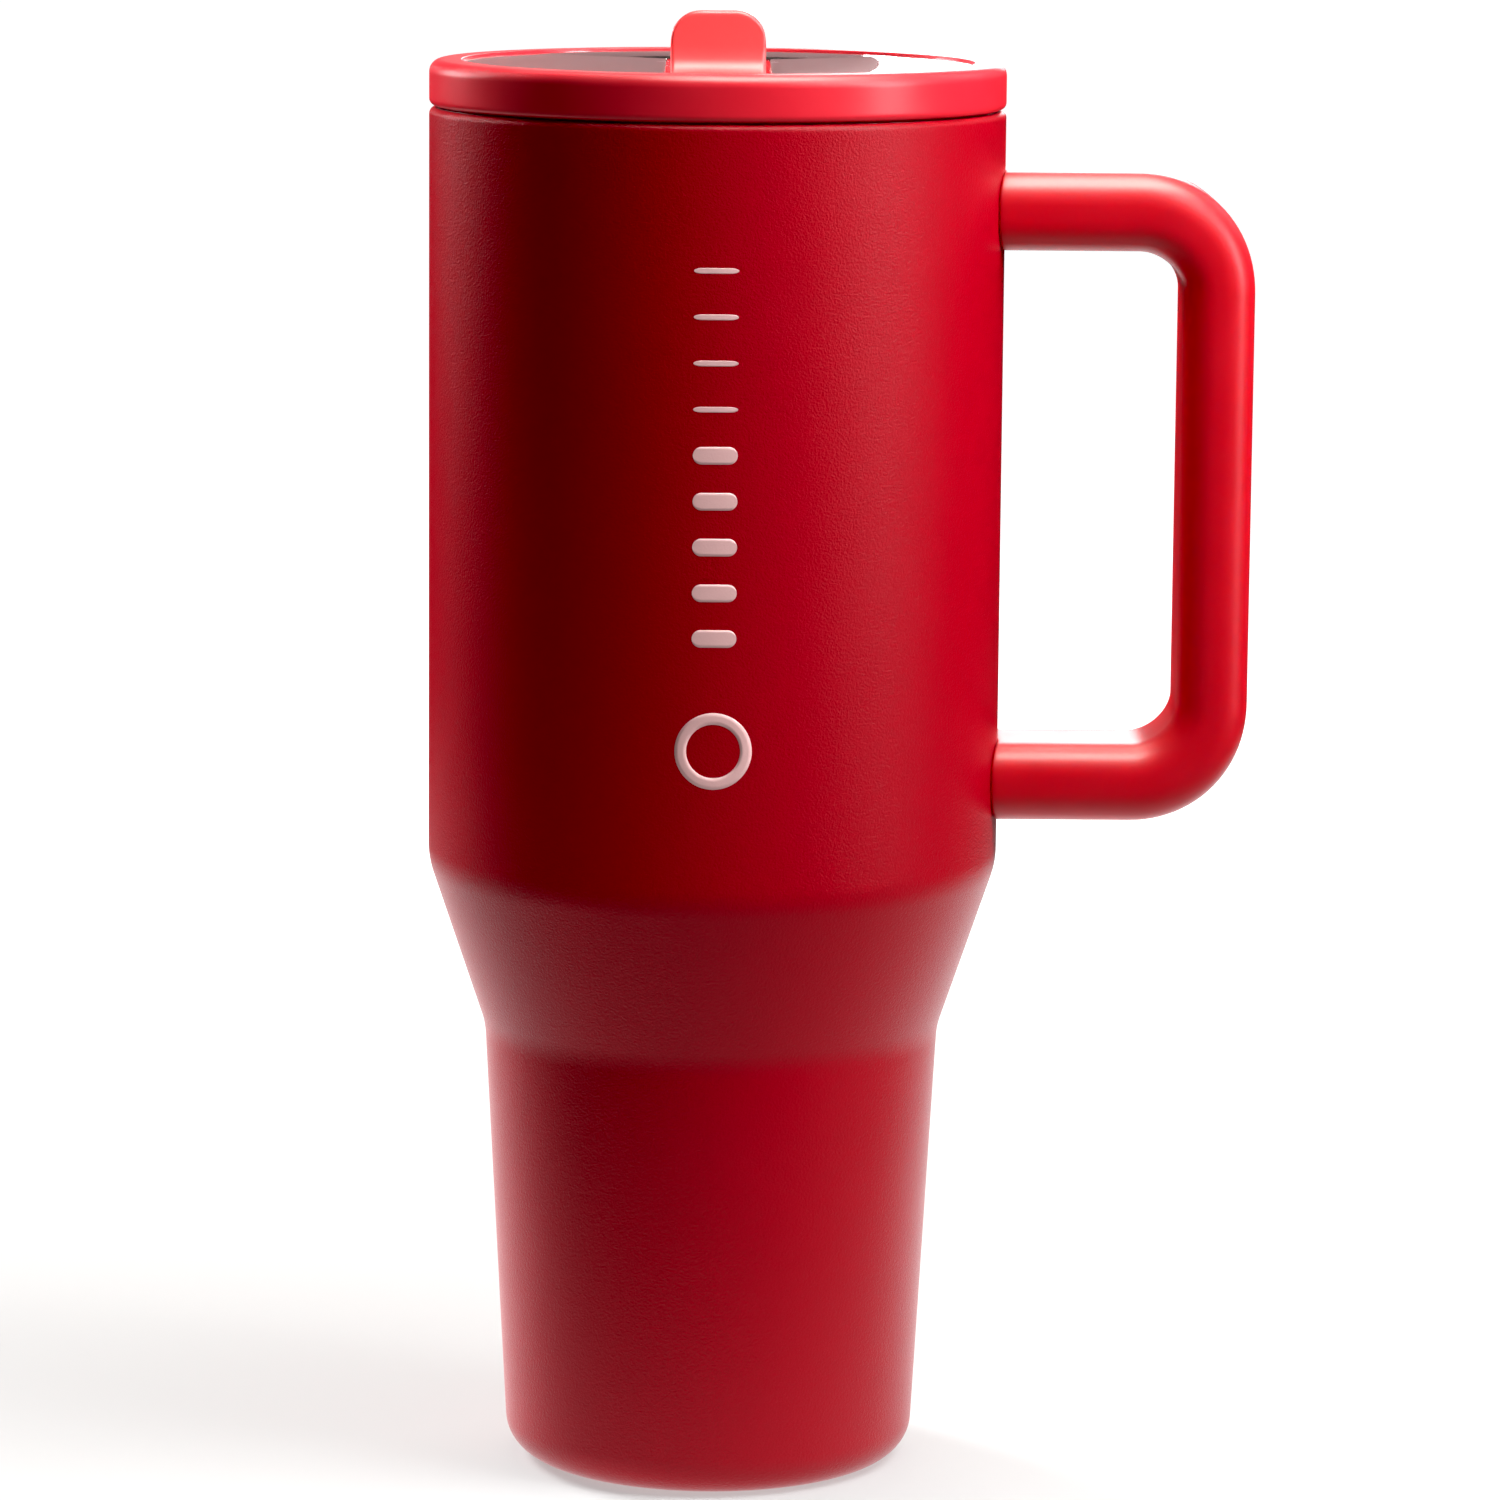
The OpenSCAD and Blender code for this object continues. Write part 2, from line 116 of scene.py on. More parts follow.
def turning_tree():
    """Turns an outline, radius along X and height along Z, about an upright axis."""
    tree = new_tree(
        "turned_piece",
        "GeometryNodeTree",
        {"Outline": "Geometry", "Segments": "Int", "Axis": "Vector", "Material": "Material"},
        {"Piece": "Geometry"},
    )
    given = add(tree, "NodeGroupInput").outputs
    size = add(tree, "GeometryNodeAttributeDomainSize", {"Geometry": given["Outline"]})
    points = size.outputs["Point Count"]
    rows = maths(tree, "ADD", given["Segments"], 1.0)
    columns = maths(tree, "ADD", points, 1.0)
    grid = add(tree, "GeometryNodeMeshGrid", {"Vertices X": columns, "Vertices Y": rows})
    index = add(tree, "GeometryNodeInputIndex").outputs["Index"]
    station = maths(tree, "FLOOR", maths(tree, "DIVIDE", index, rows))
    place = add(
        tree,
        "GeometryNodeSampleIndex",
        {
            "Geometry": given["Outline"],
            "Value": add(tree, "GeometryNodeInputPosition").outputs["Position"],
            "Index": maths(tree, "MODULO", station, points),
        },
        data_type="FLOAT_VECTOR",
    )
    outline_point = add(tree, "ShaderNodeSeparateXYZ", {0: place.outputs["Value"]}).outputs
    part_turn = maths(tree, "DIVIDE", maths(tree, "MODULO", index, rows), given["Segments"])
    angle = maths(tree, "MULTIPLY", part_turn, 2 * math.pi)
    spot = add(
        tree,
        "ShaderNodeCombineXYZ",
        {
            "X": maths(tree, "MULTIPLY", outline_point["X"], maths(tree, "COSINE", angle)),
            "Y": maths(tree, "MULTIPLY", outline_point["X"], maths(tree, "SINE", angle)),
            "Z": outline_point["Z"],
        },
    )
    moved = add(tree, "ShaderNodeVectorMath", {0: spot.outputs[0], 1: given["Axis"]})
    turned_grid = add(
        tree,
        "GeometryNodeSetPosition",
        {"Geometry": grid.outputs["Mesh"], "Position": moved.outputs[0]},
    )
    closed = add(
        tree,
        "GeometryNodeMergeByDistance",
        {"Geometry": turned_grid.outputs[0], "Distance": weld_gap},
    )
    real = add(tree, "GeometryNodeRealizeInstances", {"Geometry": closed.outputs[0]})
    painted = add(
        tree,
        "GeometryNodeSetMaterial",
        {"Geometry": real.outputs[0], "Material": given["Material"]},
    )
    add(tree, "NodeGroupOutput", {"Piece": painted.outputs[0]})
    return tree


def rounded_corner(before, at, after, radius, steps):
    """Points of the arc that rounds the corner `at` of an outline."""
    corner = Vector(at)
    back = (Vector(before) - corner).normalized()
    ahead = (Vector(after) - corner).normalized()
    half = back.angle(ahead) / 2
    centre = corner + (back + ahead).normalized() * (radius / math.sin(half))
    first = corner + back * (radius / math.tan(half)) - centre
    last = corner + ahead * (radius / math.tan(half)) - centre
    turn = math.pi - 2 * half
    arc = []
    for step in range(steps + 1):
        t = step / steps * turn
        swung = first * math.sin(turn - t) + last * math.sin(t)
        arc.append(centre + swung / math.sin(turn))
    return arc


def outline(points, steps=8, hold=0.0004):
    """Closed outline through (x, y, corner radius); long straights are held near their ends."""
    rounded = []
    for i, (x, y, radius) in enumerate(points):
        after = points[(i + 1) % len(points)][:2]
        if radius:
            rounded += rounded_corner(points[i - 1][:2], (x, y), after, radius, steps)
        else:
            rounded.append(Vector((x, y)))
    held = []
    for i, point in enumerate(rounded):
        straight = rounded[(i + 1) % len(rounded)] - point
        held.append(point)
        if straight.length > 6 * hold:
            held.append(point + straight.normalized() * hold)
            held.append(point + straight - straight.normalized() * hold)
    return held


def new_piece(name, mesh):
    """Object at the origin with merged points, faces outwards and smooth, crisp at sharp edges."""
    clean = bmesh.new()
    clean.from_mesh(mesh)
    bmesh.ops.remove_doubles(clean, verts=clean.verts, dist=weld_gap)
    bmesh.ops.recalc_face_normals(clean, faces=clean.faces)
    clean.to_mesh(mesh)
    clean.free()
    mesh.shade_smooth()
    mesh.set_sharp_from_angle(angle=sharp_angle)
    mesh.name = name
    piece = bpy.data.objects.new(name, mesh)
    bpy.context.scene.collection.objects.link(piece)
    return piece


def grown(name, seed_mesh, tree, **inputs):
    """Plain piece that a tree makes of a seed mesh and the tree's named inputs."""
    seed = bpy.data.objects.new(name + "_seed", seed_mesh)
    bpy.context.scene.collection.objects.link(seed)
    maker = seed.modifiers.new("maker", "NODES")
    maker.node_group = tree
    for socket in tree.interface.items_tree:
        label = socket.name.replace(" ", "_")
        if label in inputs:
            maker[socket.identifier] = inputs[label]
    depsgraph = bpy.context.evaluated_depsgraph_get()
    result = bpy.data.meshes.new_from_object(seed.evaluated_get(depsgraph), depsgraph=depsgraph)
    bpy.data.objects.remove(seed)
    return new_piece(name, result)


turned_tree = turning_tree()


def turned(name, points, material, axis=(0.0, 0.0, 0.0), steps=8):
    """Piece turned from a closed outline of (radius, height, corner radius)."""
    seed = bpy.data.meshes.new(name + "_outline")
    seed.from_pydata([(p.x, 0.0, p.y) for p in outline(points, steps)], [], [])
    return grown(name, seed, turned_tree, Segments=turn_segments, Axis=axis, Material=material)


def grain_group():
    """Fine grain and slow blotches of a surface, at sizes given in metres."""
    group = new_tree(
        "surface_grain",
        "ShaderNodeTree",
        {"Grain size": ("Float", 0.0005), "Blotch size": ("Float", 0.02)},
        {"Height": "Float", "Tone": "Float"},
    )
    given = add(group, "NodeGroupInput").outputs
    place = add(group, "ShaderNodeTexCoord").outputs["Object"]
    noises = []
    for size in ("Grain size", "Blotch size"):
        scale = maths(group, "DIVIDE", 1.0, given[size])
        noise = add(group, "ShaderNodeTexNoise", {"Vector": place, "Scale": scale, "Detail": 3.0})
        noises.append(noise.outputs["Fac"])
    add(group, "NodeGroupOutput", {"Height": noises[0], "Tone": noises[1]})
    return group


surface_grain = grain_group()


def grain(tree, grain_size, blotch_size):
    """Height and tone of a material's grain, at its own sizes in metres."""
    sizes = {"Grain size": grain_size, "Blotch size": blotch_size}
    return add(tree, "ShaderNodeGroup", sizes, node_tree=surface_grain).outputs


def new_finish(name):
    """Node material with its tree and its Principled shader."""
    material = bpy.data.materials.new(name)
    material.use_nodes = True
    return material, material.node_tree, material.node_tree.nodes["Principled BSDF"]


def ranged(tree, value, low, high):
    """A value from 0 to 1, spread between two others."""
    spread = add(tree, "ShaderNodeMapRange", {"Value": value, "To Min": low, "To Max": high})
    return spread.outputs["Result"]


def mixed(tree, factor, first, second):
    """Colour between two colours."""
    blend = add(
        tree, "ShaderNodeMix", {0: factor, 6: (*first, 1), 7: (*second, 1)}, data_type="RGBA"
    )
    return blend.outputs[2]


def feed(tree, shader, **sockets):
    """Links values to the shader's sockets, named with _ for a space."""
    for name, value in sockets.items():
        tree.links.new(value, shader.inputs[name.replace("_", " ")])


def preset(shader, **sockets):
    """Sets what is the same all over the surface on the shader's own sockets."""
    for name, value in sockets.items():
        shader.inputs[name.replace("_", " ")].default_value = value


def bumped(tree, height, depth, strength, under=None):
    """Normal of a surface with small hills of the given depth in metres."""
    sockets = {"Height": height, "Distance": depth, "Strength": strength}
    if under is not None:
        sockets["Normal"] = under
    return add(tree, "ShaderNodeBump", sockets).outputs["Normal"]


def powder_coat():
    """Red powder coat: pebbles and specks, tops painted light as sparkle, hollows dark as shade."""
    material, tree, shader = new_finish("red_powder_coat")
    fine = grain(tree, grain_size=pebble_size, blotch_size=0.03)
    speck = grain(tree, grain_size=speck_size, blotch_size=0.004)
    pebbles = bumped(tree, fine["Height"], pebble_h, 0.8)
    # Base colour follows speck height: painted sparkle on the tops, painted shade in between
    feed(
        tree,
        shader,
        Base_Color=mixed(tree, ranged(tree, speck["Height"], -0.6, 1.6), coat_shaded_hollows, coat_lit_speck_tops),
        Roughness=ranged(tree, fine["Tone"], 0.28, 0.36),
        Normal=bumped(tree, speck["Height"], speck_h, 0.7, pebbles),
    )
    preset(shader, Specular_IOR_Level=0.22)
    return material


coated_wall = turned(
    "coated_wall",
    [
        (foot_lip_r, 0.0, 0.0),
        (foot_r, 0.0, foot_edge),
        (waist_r, waist_z, cone_blend),
        (body_r, shoulder_z, cone_blend),
        (body_r, brim_z, brim_edge),
        (seam_r, brim_z, 0.0),
        (seam_r, brim_z - liner_t, 0.0),
        (flange_r + liner_t, brim_z - liner_t, 0.0),
        (flange_r + liner_t, brim_z - liner_t - wall_t, 0.0),
        (body_r - wall_t, brim_z - liner_t - wall_t, brim_fold),
        (body_r - wall_t, shoulder_z, cone_blend),
        (waist_r - wall_t, waist_z, cone_blend),
        (foot_r - wall_t, wall_t, foot_edge - wall_t),
        (foot_lip_r, wall_t, 0.0),
    ],
    powder_coat(),
    steps=14,
)
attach(coated_wall, "cup")
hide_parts("outer_shell")


# ---------------------------------------------------------------- print on the front
# A pale pink silk-screened gauge: a column of round-ended bars, heavy below and fine above,
# over a plain ring.  The ink stands a few hundredths of a millimetre proud of the coat.

ink_t = 0.00003
ink_colour = (0.9, 0.53, 0.52)
ink_shade = 0.93
bar_half_l = 0.0038
bar_half_h = 0.0015
bar_least_h = 0.00001
bar_pitch = 0.0078
bar_count = 9
heavy_count = 5
fine_share = 0.32
lowest_bar_z = 0.1545
ring_z = 0.1352
ring_out_r = 0.0066
ring_in_r = 0.0046


def row_tree():
    """Row of copies of a piece; those past Heavy count are thinned along Z."""
    tree = new_tree(
        "row_of_pieces",
        "GeometryNodeTree",
        {
            "Piece": "Geometry",
            "Count": "Int",
            "Start": "Vector",
            "Step": "Vector",
            "Heavy count": "Int",
            "Fine share": ("Float", 1.0),
            "Material": "Material",
        },
        {"Row": "Geometry"},
    )
    given = add(tree, "NodeGroupInput").outputs
    line = add(
        tree,
        "GeometryNodeMeshLine",
        {"Count": given["Count"], "Start Location": given["Start"], "Offset": given["Step"]},
        mode="OFFSET",
    )
    index = add(tree, "GeometryNodeInputIndex").outputs["Index"]
    last_heavy = maths(tree, "SUBTRACT", given["Heavy count"], 0.5)
    is_fine = maths(tree, "GREATER_THAN", index, last_heavy)
    thinning = maths(tree, "SUBTRACT", 1.0, given["Fine share"])
    height = maths(tree, "SUBTRACT", 1.0, maths(tree, "MULTIPLY", is_fine, thinning))
    scale = add(tree, "ShaderNodeCombineXYZ", {"X": 1.0, "Y": 1.0, "Z": height})
    copies = add(
        tree,
        "GeometryNodeInstanceOnPoints",
        {
            "Points": line.outputs["Mesh"],
            "Instance": given["Piece"],
            "Scale": scale.outputs["Vector"],
        },
    )
    real = add(tree, "GeometryNodeRealizeInstances", {"Geometry": copies.outputs[0]})
    painted = add(
        tree,
        "GeometryNodeSetMaterial",
        {"Geometry": real.outputs[0], "Material": given["Material"]},
    )
    add(tree, "NodeGroupOutput", {"Row": painted.outputs[0]})
    return tree


row_of_pieces = row_tree()


def grid_mesh(name, columns, rows, place):
    """Flat sheet of quads; place(u, v) gives the point at shares u and v of its two sides."""
    points = []
    for i in range(columns + 1):
        for j in range(rows + 1):
            points.append(place(i / columns, j / rows))
    faces = []
    for i in range(columns):
        for j in range(rows):
            first = i * (rows + 1) + j
            faces.append((first, first + rows + 1, first + rows + 2, first + 1))
    mesh = bpy.data.meshes.new(name)
    mesh.from_pydata(points, [], faces)
    return mesh


def bar_point(u, v):
    """Point of a round-ended bar that lies along X."""
    x = bar_half_l * math.sin((u - 0.5) * math.pi)
    past_end = max(0.0, abs(x) - (bar_half_l - bar_half_h))
    half_h = math.sqrt(max(bar_half_h**2 - past_end**2, bar_least_h**2))
    return (x, 0.0, (2 * v - 1) * half_h)


def ring_point(u, v):
    """Point of a flat ring that stands in the XZ plane."""
    radius = ring_in_r + v * (ring_out_r - ring_in_r)
    angle = 2 * math.pi * u
    return (radius * math.cos(angle), 0.0, ring_z + radius * math.sin(angle))


def ink():
    """Matt screen ink, a little uneven in tone."""
    material, tree, shader = new_finish("pale_pink_ink")
    fine = grain(tree, grain_size=0.0004, blotch_size=0.006)
    shade = tuple(ink_shade * channel for channel in ink_colour)
    feed(
        tree,
        shader,
        Base_Color=mixed(tree, fine["Tone"], shade, ink_colour),
        Roughness=ranged(tree, fine["Tone"], 0.42, 0.55),
        Normal=bumped(tree, fine["Height"], ink_t, 0.6),
    )
    return material


def printed_on_wall(piece):
    """Bends a flat sheet in the XZ plane round the front of the wall and gives it its thickness."""
    for vertex in piece.data.vertices:
        angle = vertex.co.x / body_r
        vertex.co.x = body_r * math.sin(angle)
        vertex.co.y = -body_r * math.cos(angle)
    film = piece.modifiers.new("film", "SOLIDIFY")
    film.thickness = 2 * ink_t
    film.offset = 0.0


def paint(piece, material):
    """Gives a piece its one finish."""
    piece.data.materials.clear()
    piece.data.materials.append(material)


ink_finish = ink()
gauge_bars = grown(
    "gauge_bars",
    grid_mesh("bar", columns=28, rows=6, place=bar_point),
    row_of_pieces,
    Count=bar_count,
    Start=(0.0, 0.0, lowest_bar_z),
    Step=(0.0, 0.0, bar_pitch),
    Heavy_count=heavy_count,
    Fine_share=fine_share,
    Material=ink_finish,
)
ring_sheet = grid_mesh("ring", columns=64, rows=3, place=ring_point)
gauge_ring = new_piece("gauge_ring", ring_sheet)
paint(gauge_ring, ink_finish)
for print_piece in (gauge_bars, gauge_ring):
    printed_on_wall(print_piece)
    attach(print_piece, "cup")


# ---------------------------------------------------------------- base and vacuum
# A steel disc welded inside the turned-in foot closes the vacuum space.  A bead of solder
# plugs its evacuation hole, and a grey getter pellet inside keeps the vacuum clean.

pan_low, pan_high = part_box("base_pan")
pan_r = pan_high.x
evac_hole_r = 0.0015
bead_low, bead_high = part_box("vacuum_seal")
bead_edge = 0.00035
steel_edge = 0.00015
steel_line_h = 0.00001
steel_gloss_range = 0.14
dull_grain_h = 0.00006
dull_gloss_range = 0.15


def brushing_group():
    """Fine lines that run round the axis of a turned steel piece."""
    group = new_tree(
        "turned_brushing",
        "ShaderNodeTree",
        {"Line pitch": ("Float", 0.0004)},
        {"Height": "Float", "Tone": "Float"},
    )
    line_wander = 12.0
    cloud_scale = 45.0
    given = add(group, "NodeGroupInput").outputs
    place = add(group, "ShaderNodeTexCoord").outputs["Object"]
    parts = add(group, "ShaderNodeSeparateXYZ", {0: place}).outputs
    flat = add(group, "ShaderNodeCombineXYZ", {"X": parts["X"], "Y": parts["Y"]}).outputs[0]
    radius = add(group, "ShaderNodeVectorMath", {0: flat}, operation="LENGTH").outputs["Value"]
    across = add(
        group,
        "ShaderNodeCombineXYZ",
        {
            "X": maths(group, "DIVIDE", radius, given["Line pitch"]),
            "Y": maths(group, "MULTIPLY", parts["Y"], line_wander),
            "Z": maths(group, "DIVIDE", parts["Z"], given["Line pitch"]),
        },
    )
    lines = add(
        group,
        "ShaderNodeTexNoise",
        {"Vector": across.outputs[0], "Scale": 1.0, "Detail": 2.0},
    )
    clouds = {"Vector": place, "Scale": cloud_scale, "Detail": 3.0}
    slow = add(group, "ShaderNodeTexNoise", clouds)
    add(
        group,
        "NodeGroupOutput",
        {"Height": lines.outputs["Fac"], "Tone": slow.outputs["Fac"]},
    )
    return group


turned_brushing = brushing_group()


def edge_group():
    """Normal that softens the sharp edges of a machined piece."""
    group = new_tree(
        "softened_edges",
        "ShaderNodeTree",
        {"Edge radius": ("Float", 0.0002)},
        {"Normal": "Vector"},
    )
    given = add(group, "NodeGroupInput").outputs
    edge = add(group, "ShaderNodeBevel", {"Radius": given["Edge radius"]}, samples=6)
    add(group, "NodeGroupOutput", {"Normal": edge.outputs["Normal"]})
    return group


softened_edges = edge_group()


def bare_steel(name, line_pitch, dark, light, roughest):
    """Stainless steel with the fine lines of turning; its line tops are the glossiest."""
    material, tree, shader = new_finish(name)
    lines = add(
        tree, "ShaderNodeGroup", {"Line pitch": line_pitch}, node_tree=turned_brushing
    ).outputs
    edges = add(tree, "ShaderNodeGroup", {"Edge radius": steel_edge}, node_tree=softened_edges)
    feed(
        tree,
        shader,
        Base_Color=mixed(tree, lines["Tone"], dark, light),
        Roughness=ranged(tree, lines["Height"], roughest - steel_gloss_range, roughest),
        Normal=bumped(tree, lines["Height"], steel_line_h, 0.5, edges.outputs["Normal"]),
    )
    preset(shader, Metallic=1.0)
    return material


def dull_metal(name, dark, light, grain_size, roughest):
    """Unpolished metal with a coarse grain."""
    material, tree, shader = new_finish(name)
    fine = grain(tree, grain_size=grain_size, blotch_size=0.003)
    feed(
        tree,
        shader,
        Base_Color=mixed(tree, fine["Tone"], dark, light),
        Roughness=ranged(tree, fine["Tone"], roughest - dull_gloss_range, roughest),
        Normal=bumped(tree, fine["Height"], dull_grain_h, 0.8),
    )
    preset(shader, Metallic=1.0)
    return material


def repaint(node, material):
    """Gives a CAD node that keeps its shape its finish."""
    paint(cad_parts[node], material)


satin_steel = bare_steel("satin_steel", 0.0003, (0.52, 0.51, 0.5), (0.66, 0.65, 0.64), 0.42)
base_disc = turned(
    "base_disc",
    [
        (evac_hole_r, pan_low.z, 0.0),
        (pan_r, pan_low.z, 0.0),
        (pan_r, pan_high.z, 0.0),
        (evac_hole_r, pan_high.z, 0.0),
    ],
    satin_steel,
)
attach(base_disc, "cup")
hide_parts("base_pan")

solder = dull_metal("dull_solder", (0.35, 0.35, 0.36), (0.5, 0.5, 0.51), 0.0004, 0.6)
solder_bead = turned(
    "solder_bead",
    [
        (0.0, bead_low.z, 0.0),
        (bead_high.x, bead_low.z, bead_edge),
        (bead_high.x, pan_low.z, 0.0),
        (evac_hole_r, pan_low.z, 0.0),
        (evac_hole_r, bead_high.z, 0.0),
        (0.0, bead_high.z, 0.0),
    ],
    solder,
)
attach(solder_bead, "cup")
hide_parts("vacuum_seal")

repaint("getter", dull_metal("grey_getter", (0.2, 0.2, 0.21), (0.32, 0.32, 0.33), 0.0002, 0.75))


# ---------------------------------------------------------------- inner wall
# The drinking vessel: a bare stainless tube, polished by turning, that hangs in the vacuum
# from a flange in the step of the outer wall's brim, where the two are welded.

inner_floor_z = 0.008
liner_gap = wall_t + vacuum_gap
liner_low_z = inner_floor_z - liner_t
fit_gap = 0.00005
flange_edge = 0.0002
mouth_edge = 0.0005

liner_wall = turned(
    "liner_wall",
    [
        (0.0, liner_low_z, 0.0),
        (foot_r - liner_gap, liner_low_z, foot_edge - liner_gap),
        (waist_r - liner_gap, waist_z, cone_blend),
        (body_r - liner_gap, shoulder_z, cone_blend),
        (body_r - liner_gap, brim_z - liner_t, 0.0),
        (seam_r - fit_gap, brim_z - liner_t, 0.0),
        (seam_r - fit_gap, brim_z, flange_edge),
        (flange_r, brim_z, mouth_edge),
        (flange_r, shoulder_z, cone_blend),
        (waist_r - liner_gap - liner_t, waist_z, cone_blend),
        (foot_r - liner_gap - liner_t, inner_floor_z, foot_edge - liner_gap - liner_t),
        (0.0, inner_floor_z, 0.0),
    ],
    satin_steel,
    steps=10,
)
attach(liner_wall, "cup")
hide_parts("inner_liner")


# ---------------------------------------------------------------- handle
# A closed bar on two steel saddles that are spot-welded to the wall.  A soft skin is moulded
# over a rigid core, which slides onto the saddles' tongues and is locked by a screw from below
# in each arm.  The grip is a little slimmer than the arms, and the ends are cut to the wall.

skin_low, skin_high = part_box("handle_skin")
cad_bar_t = 0.0132
bar_w = skin_high.y - skin_low.y
arm_t = 0.0137
grip_t = 0.0125
skin_t = 0.0022
bar_corner = 0.0055
bend_r = 0.0142
upper_z = skin_high.z - cad_bar_t / 2
lower_z = skin_low.z + cad_bar_t / 2
grip_x = skin_high.x - cad_bar_t / 2
bend_x = grip_x - bend_r
saddle_r = body_r + fit_gap
end_edge = 0.0005
end_steps = 4
bend_steps = 24
grip_steps = 20
cutter_segments = 48
skin_dark = (0.54, 0.002, 0.010)
skin_light = (0.60, 0.004, 0.015)
mould_grain_h = 0.00001
mould_gloss_half_range = 0.05


def bar_section(thickness, width, corner):
    """Round-cornered section of the bar: (share across its thickness, share across its width)."""
    half_t = thickness / 2
    half_w = width / 2
    corners = [(half_t, -half_w), (half_t, half_w), (-half_t, half_w), (-half_t, -half_w)]
    return outline([(t, w, corner) for t, w in corners], hold=0.0009)


def quarter_bend(centre_z, start):
    """Middle of one bend: a quarter turn down from the start angle, in the form of bar_path."""
    centre = Vector((bend_x, 0, centre_z))
    bend = []
    for step in range(bend_steps + 1):
        angle = start - math.pi / 2 * step / bend_steps
        out = Vector((math.cos(angle), 0, math.sin(angle)))
        bend.append((1.0, centre + out * bend_r, out))
    return bend


def bar_path():
    """Middle of the bar from the upper arm round to the lower: (share of arm, place, outward)."""
    arm_shares = [0.0, 0.02, 0.05, 0.1, 0.2, 0.35, 0.5, 0.65, 0.8, 0.92]
    upper_arm = [(share, Vector((0, 0, upper_z)), Vector((0, 0, 1))) for share in arm_shares]
    lower_arm = [(share, Vector((0, 0, lower_z)), Vector((0, 0, -1))) for share in arm_shares]
    straight = upper_z - lower_z - 2 * bend_r
    grip = []
    for step in range(1, grip_steps):
        height = upper_z - bend_r - straight * step / grip_steps
        grip.append((1.0, Vector((grip_x, 0, height)), Vector((1, 0, 0))))
    upper_bend = quarter_bend(upper_z - bend_r, math.pi / 2)
    lower_bend = quarter_bend(lower_z + bend_r, 0.0)
    return upper_arm + upper_bend + grip + lower_bend + lower_arm[::-1]


def bar_ring(share, place, outward, inset):
    """One ring of the skin, sunk by inset; on an arm it runs from the wall's curve to the bend."""
    level = abs(outward.z)
    ease = level * level * (3 - 2 * level)
    thickness = grip_t + (arm_t - grip_t) * ease - 2 * inset
    ring = []
    for across, aside in bar_section(thickness, bar_w - 2 * inset, bar_corner - inset):
        point = place + outward * across + Vector((0, aside, 0))
        if share < 1:
            wall_x = math.sqrt(saddle_r**2 - point.y**2)
            point.x = wall_x + (bend_x - wall_x) * share
        ring.append(point)
    return ring


def loft_mesh(name, rings, closed):
    """Mesh through rings of equal length; closed joins the last ring to the first."""
    size = len(rings[0])
    mesh = bpy.data.meshes.new(name)
    faces = []
    for i in range(len(rings) if closed else len(rings) - 1):
        here = i * size
        there = (i + 1) % len(rings) * size
        for j in range(size):
            after = (j + 1) % size
            faces.append((here + j, here + after, there + after, there + j))
    if not closed:
        faces.append(tuple(range(size)))
        faces.append(tuple(range((len(rings) - 1) * size, len(rings) * size)))
    mesh.from_pydata([point for ring in rings for point in ring], [], faces)
    return mesh


def skin_rings():
    """Rings over the outside of the bar and back along its inside, with rounded ends."""
    path = bar_path()
    outside = [bar_ring(*station, 0.0) for station in path]
    inside = [bar_ring(*station, skin_t) for station in path]
    ends = []
    for end in (path[0], path[-1]):
        rim = []
        for step in range(end_steps):
            turn = math.pi / 2 * step / end_steps
            ring = bar_ring(*end, end_edge * (1 - math.sin(turn)))
            for point in ring:
                point.x += end_edge * (1 - math.cos(turn))
            rim.append(ring)
        ends.append(rim)
    return ends[0] + outside[1:-1] + ends[1][::-1] + inside[::-1]


def carved(name, mesh, cutters):
    """Mesh with round cutters, given as (start, end, radius), taken out of it."""
    stock = bpy.data.objects.new(name + "_stock", mesh)
    bpy.context.scene.collection.objects.link(stock)
    tools = []
    for start, end, radius in cutters:
        axis = Vector(end) - Vector(start)
        turn = axis.to_track_quat("Z", "Y").to_matrix().to_4x4()
        rod = bmesh.new()
        bmesh.ops.create_cone(
            rod,
            cap_ends=True,
            segments=cutter_segments,
            radius1=radius,
            radius2=radius,
            depth=axis.length,
        )
        bmesh.ops.transform(rod, matrix=turn, verts=rod.verts)
        bmesh.ops.translate(rod, vec=(Vector(start) + Vector(end)) / 2, verts=rod.verts)
        rod_mesh = bpy.data.meshes.new("rod")
        rod.to_mesh(rod_mesh)
        rod.free()
        tool = bpy.data.objects.new("rod", rod_mesh)
        bpy.context.scene.collection.objects.link(tool)
        tools.append(tool)
        cut = stock.modifiers.new("cut", "BOOLEAN")
        cut.operation = "DIFFERENCE"
        cut.solver = "EXACT"
        cut.object = tool
    depsgraph = bpy.context.evaluated_depsgraph_get()
    result = bpy.data.meshes.new_from_object(stock.evaluated_get(depsgraph), depsgraph=depsgraph)
    for used in [stock, *tools]:
        bpy.data.objects.remove(used)
    return result


def soft_skin():
    """Soft-touch rubber that light sinks into a little."""
    material, tree, shader = new_finish("red_soft_skin")
    fine = grain(tree, grain_size=0.0003, blotch_size=0.012)
    feed(
        tree,
        shader,
        Base_Color=mixed(tree, fine["Tone"], skin_dark, skin_light),
        Roughness=ranged(tree, fine["Tone"], 0.34, 0.42),
        Normal=bumped(tree, fine["Height"], mould_grain_h, 0.5),
    )
    preset(
        shader,
        Subsurface_Weight=0.5,
        Subsurface_Radius=(1.0, 0.1, 0.08),
        Subsurface_Scale=0.008,
    )
    return material


plug_low, plug_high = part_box("screw_plugs")
plug_r = (plug_high.x - plug_low.x) / 2
screw_x = (plug_high.x + plug_low.x) / 2
plug_gap = 0.00008
plug_h = 0.0016
plug_edge = 0.0003
plug_inset = 0.0001

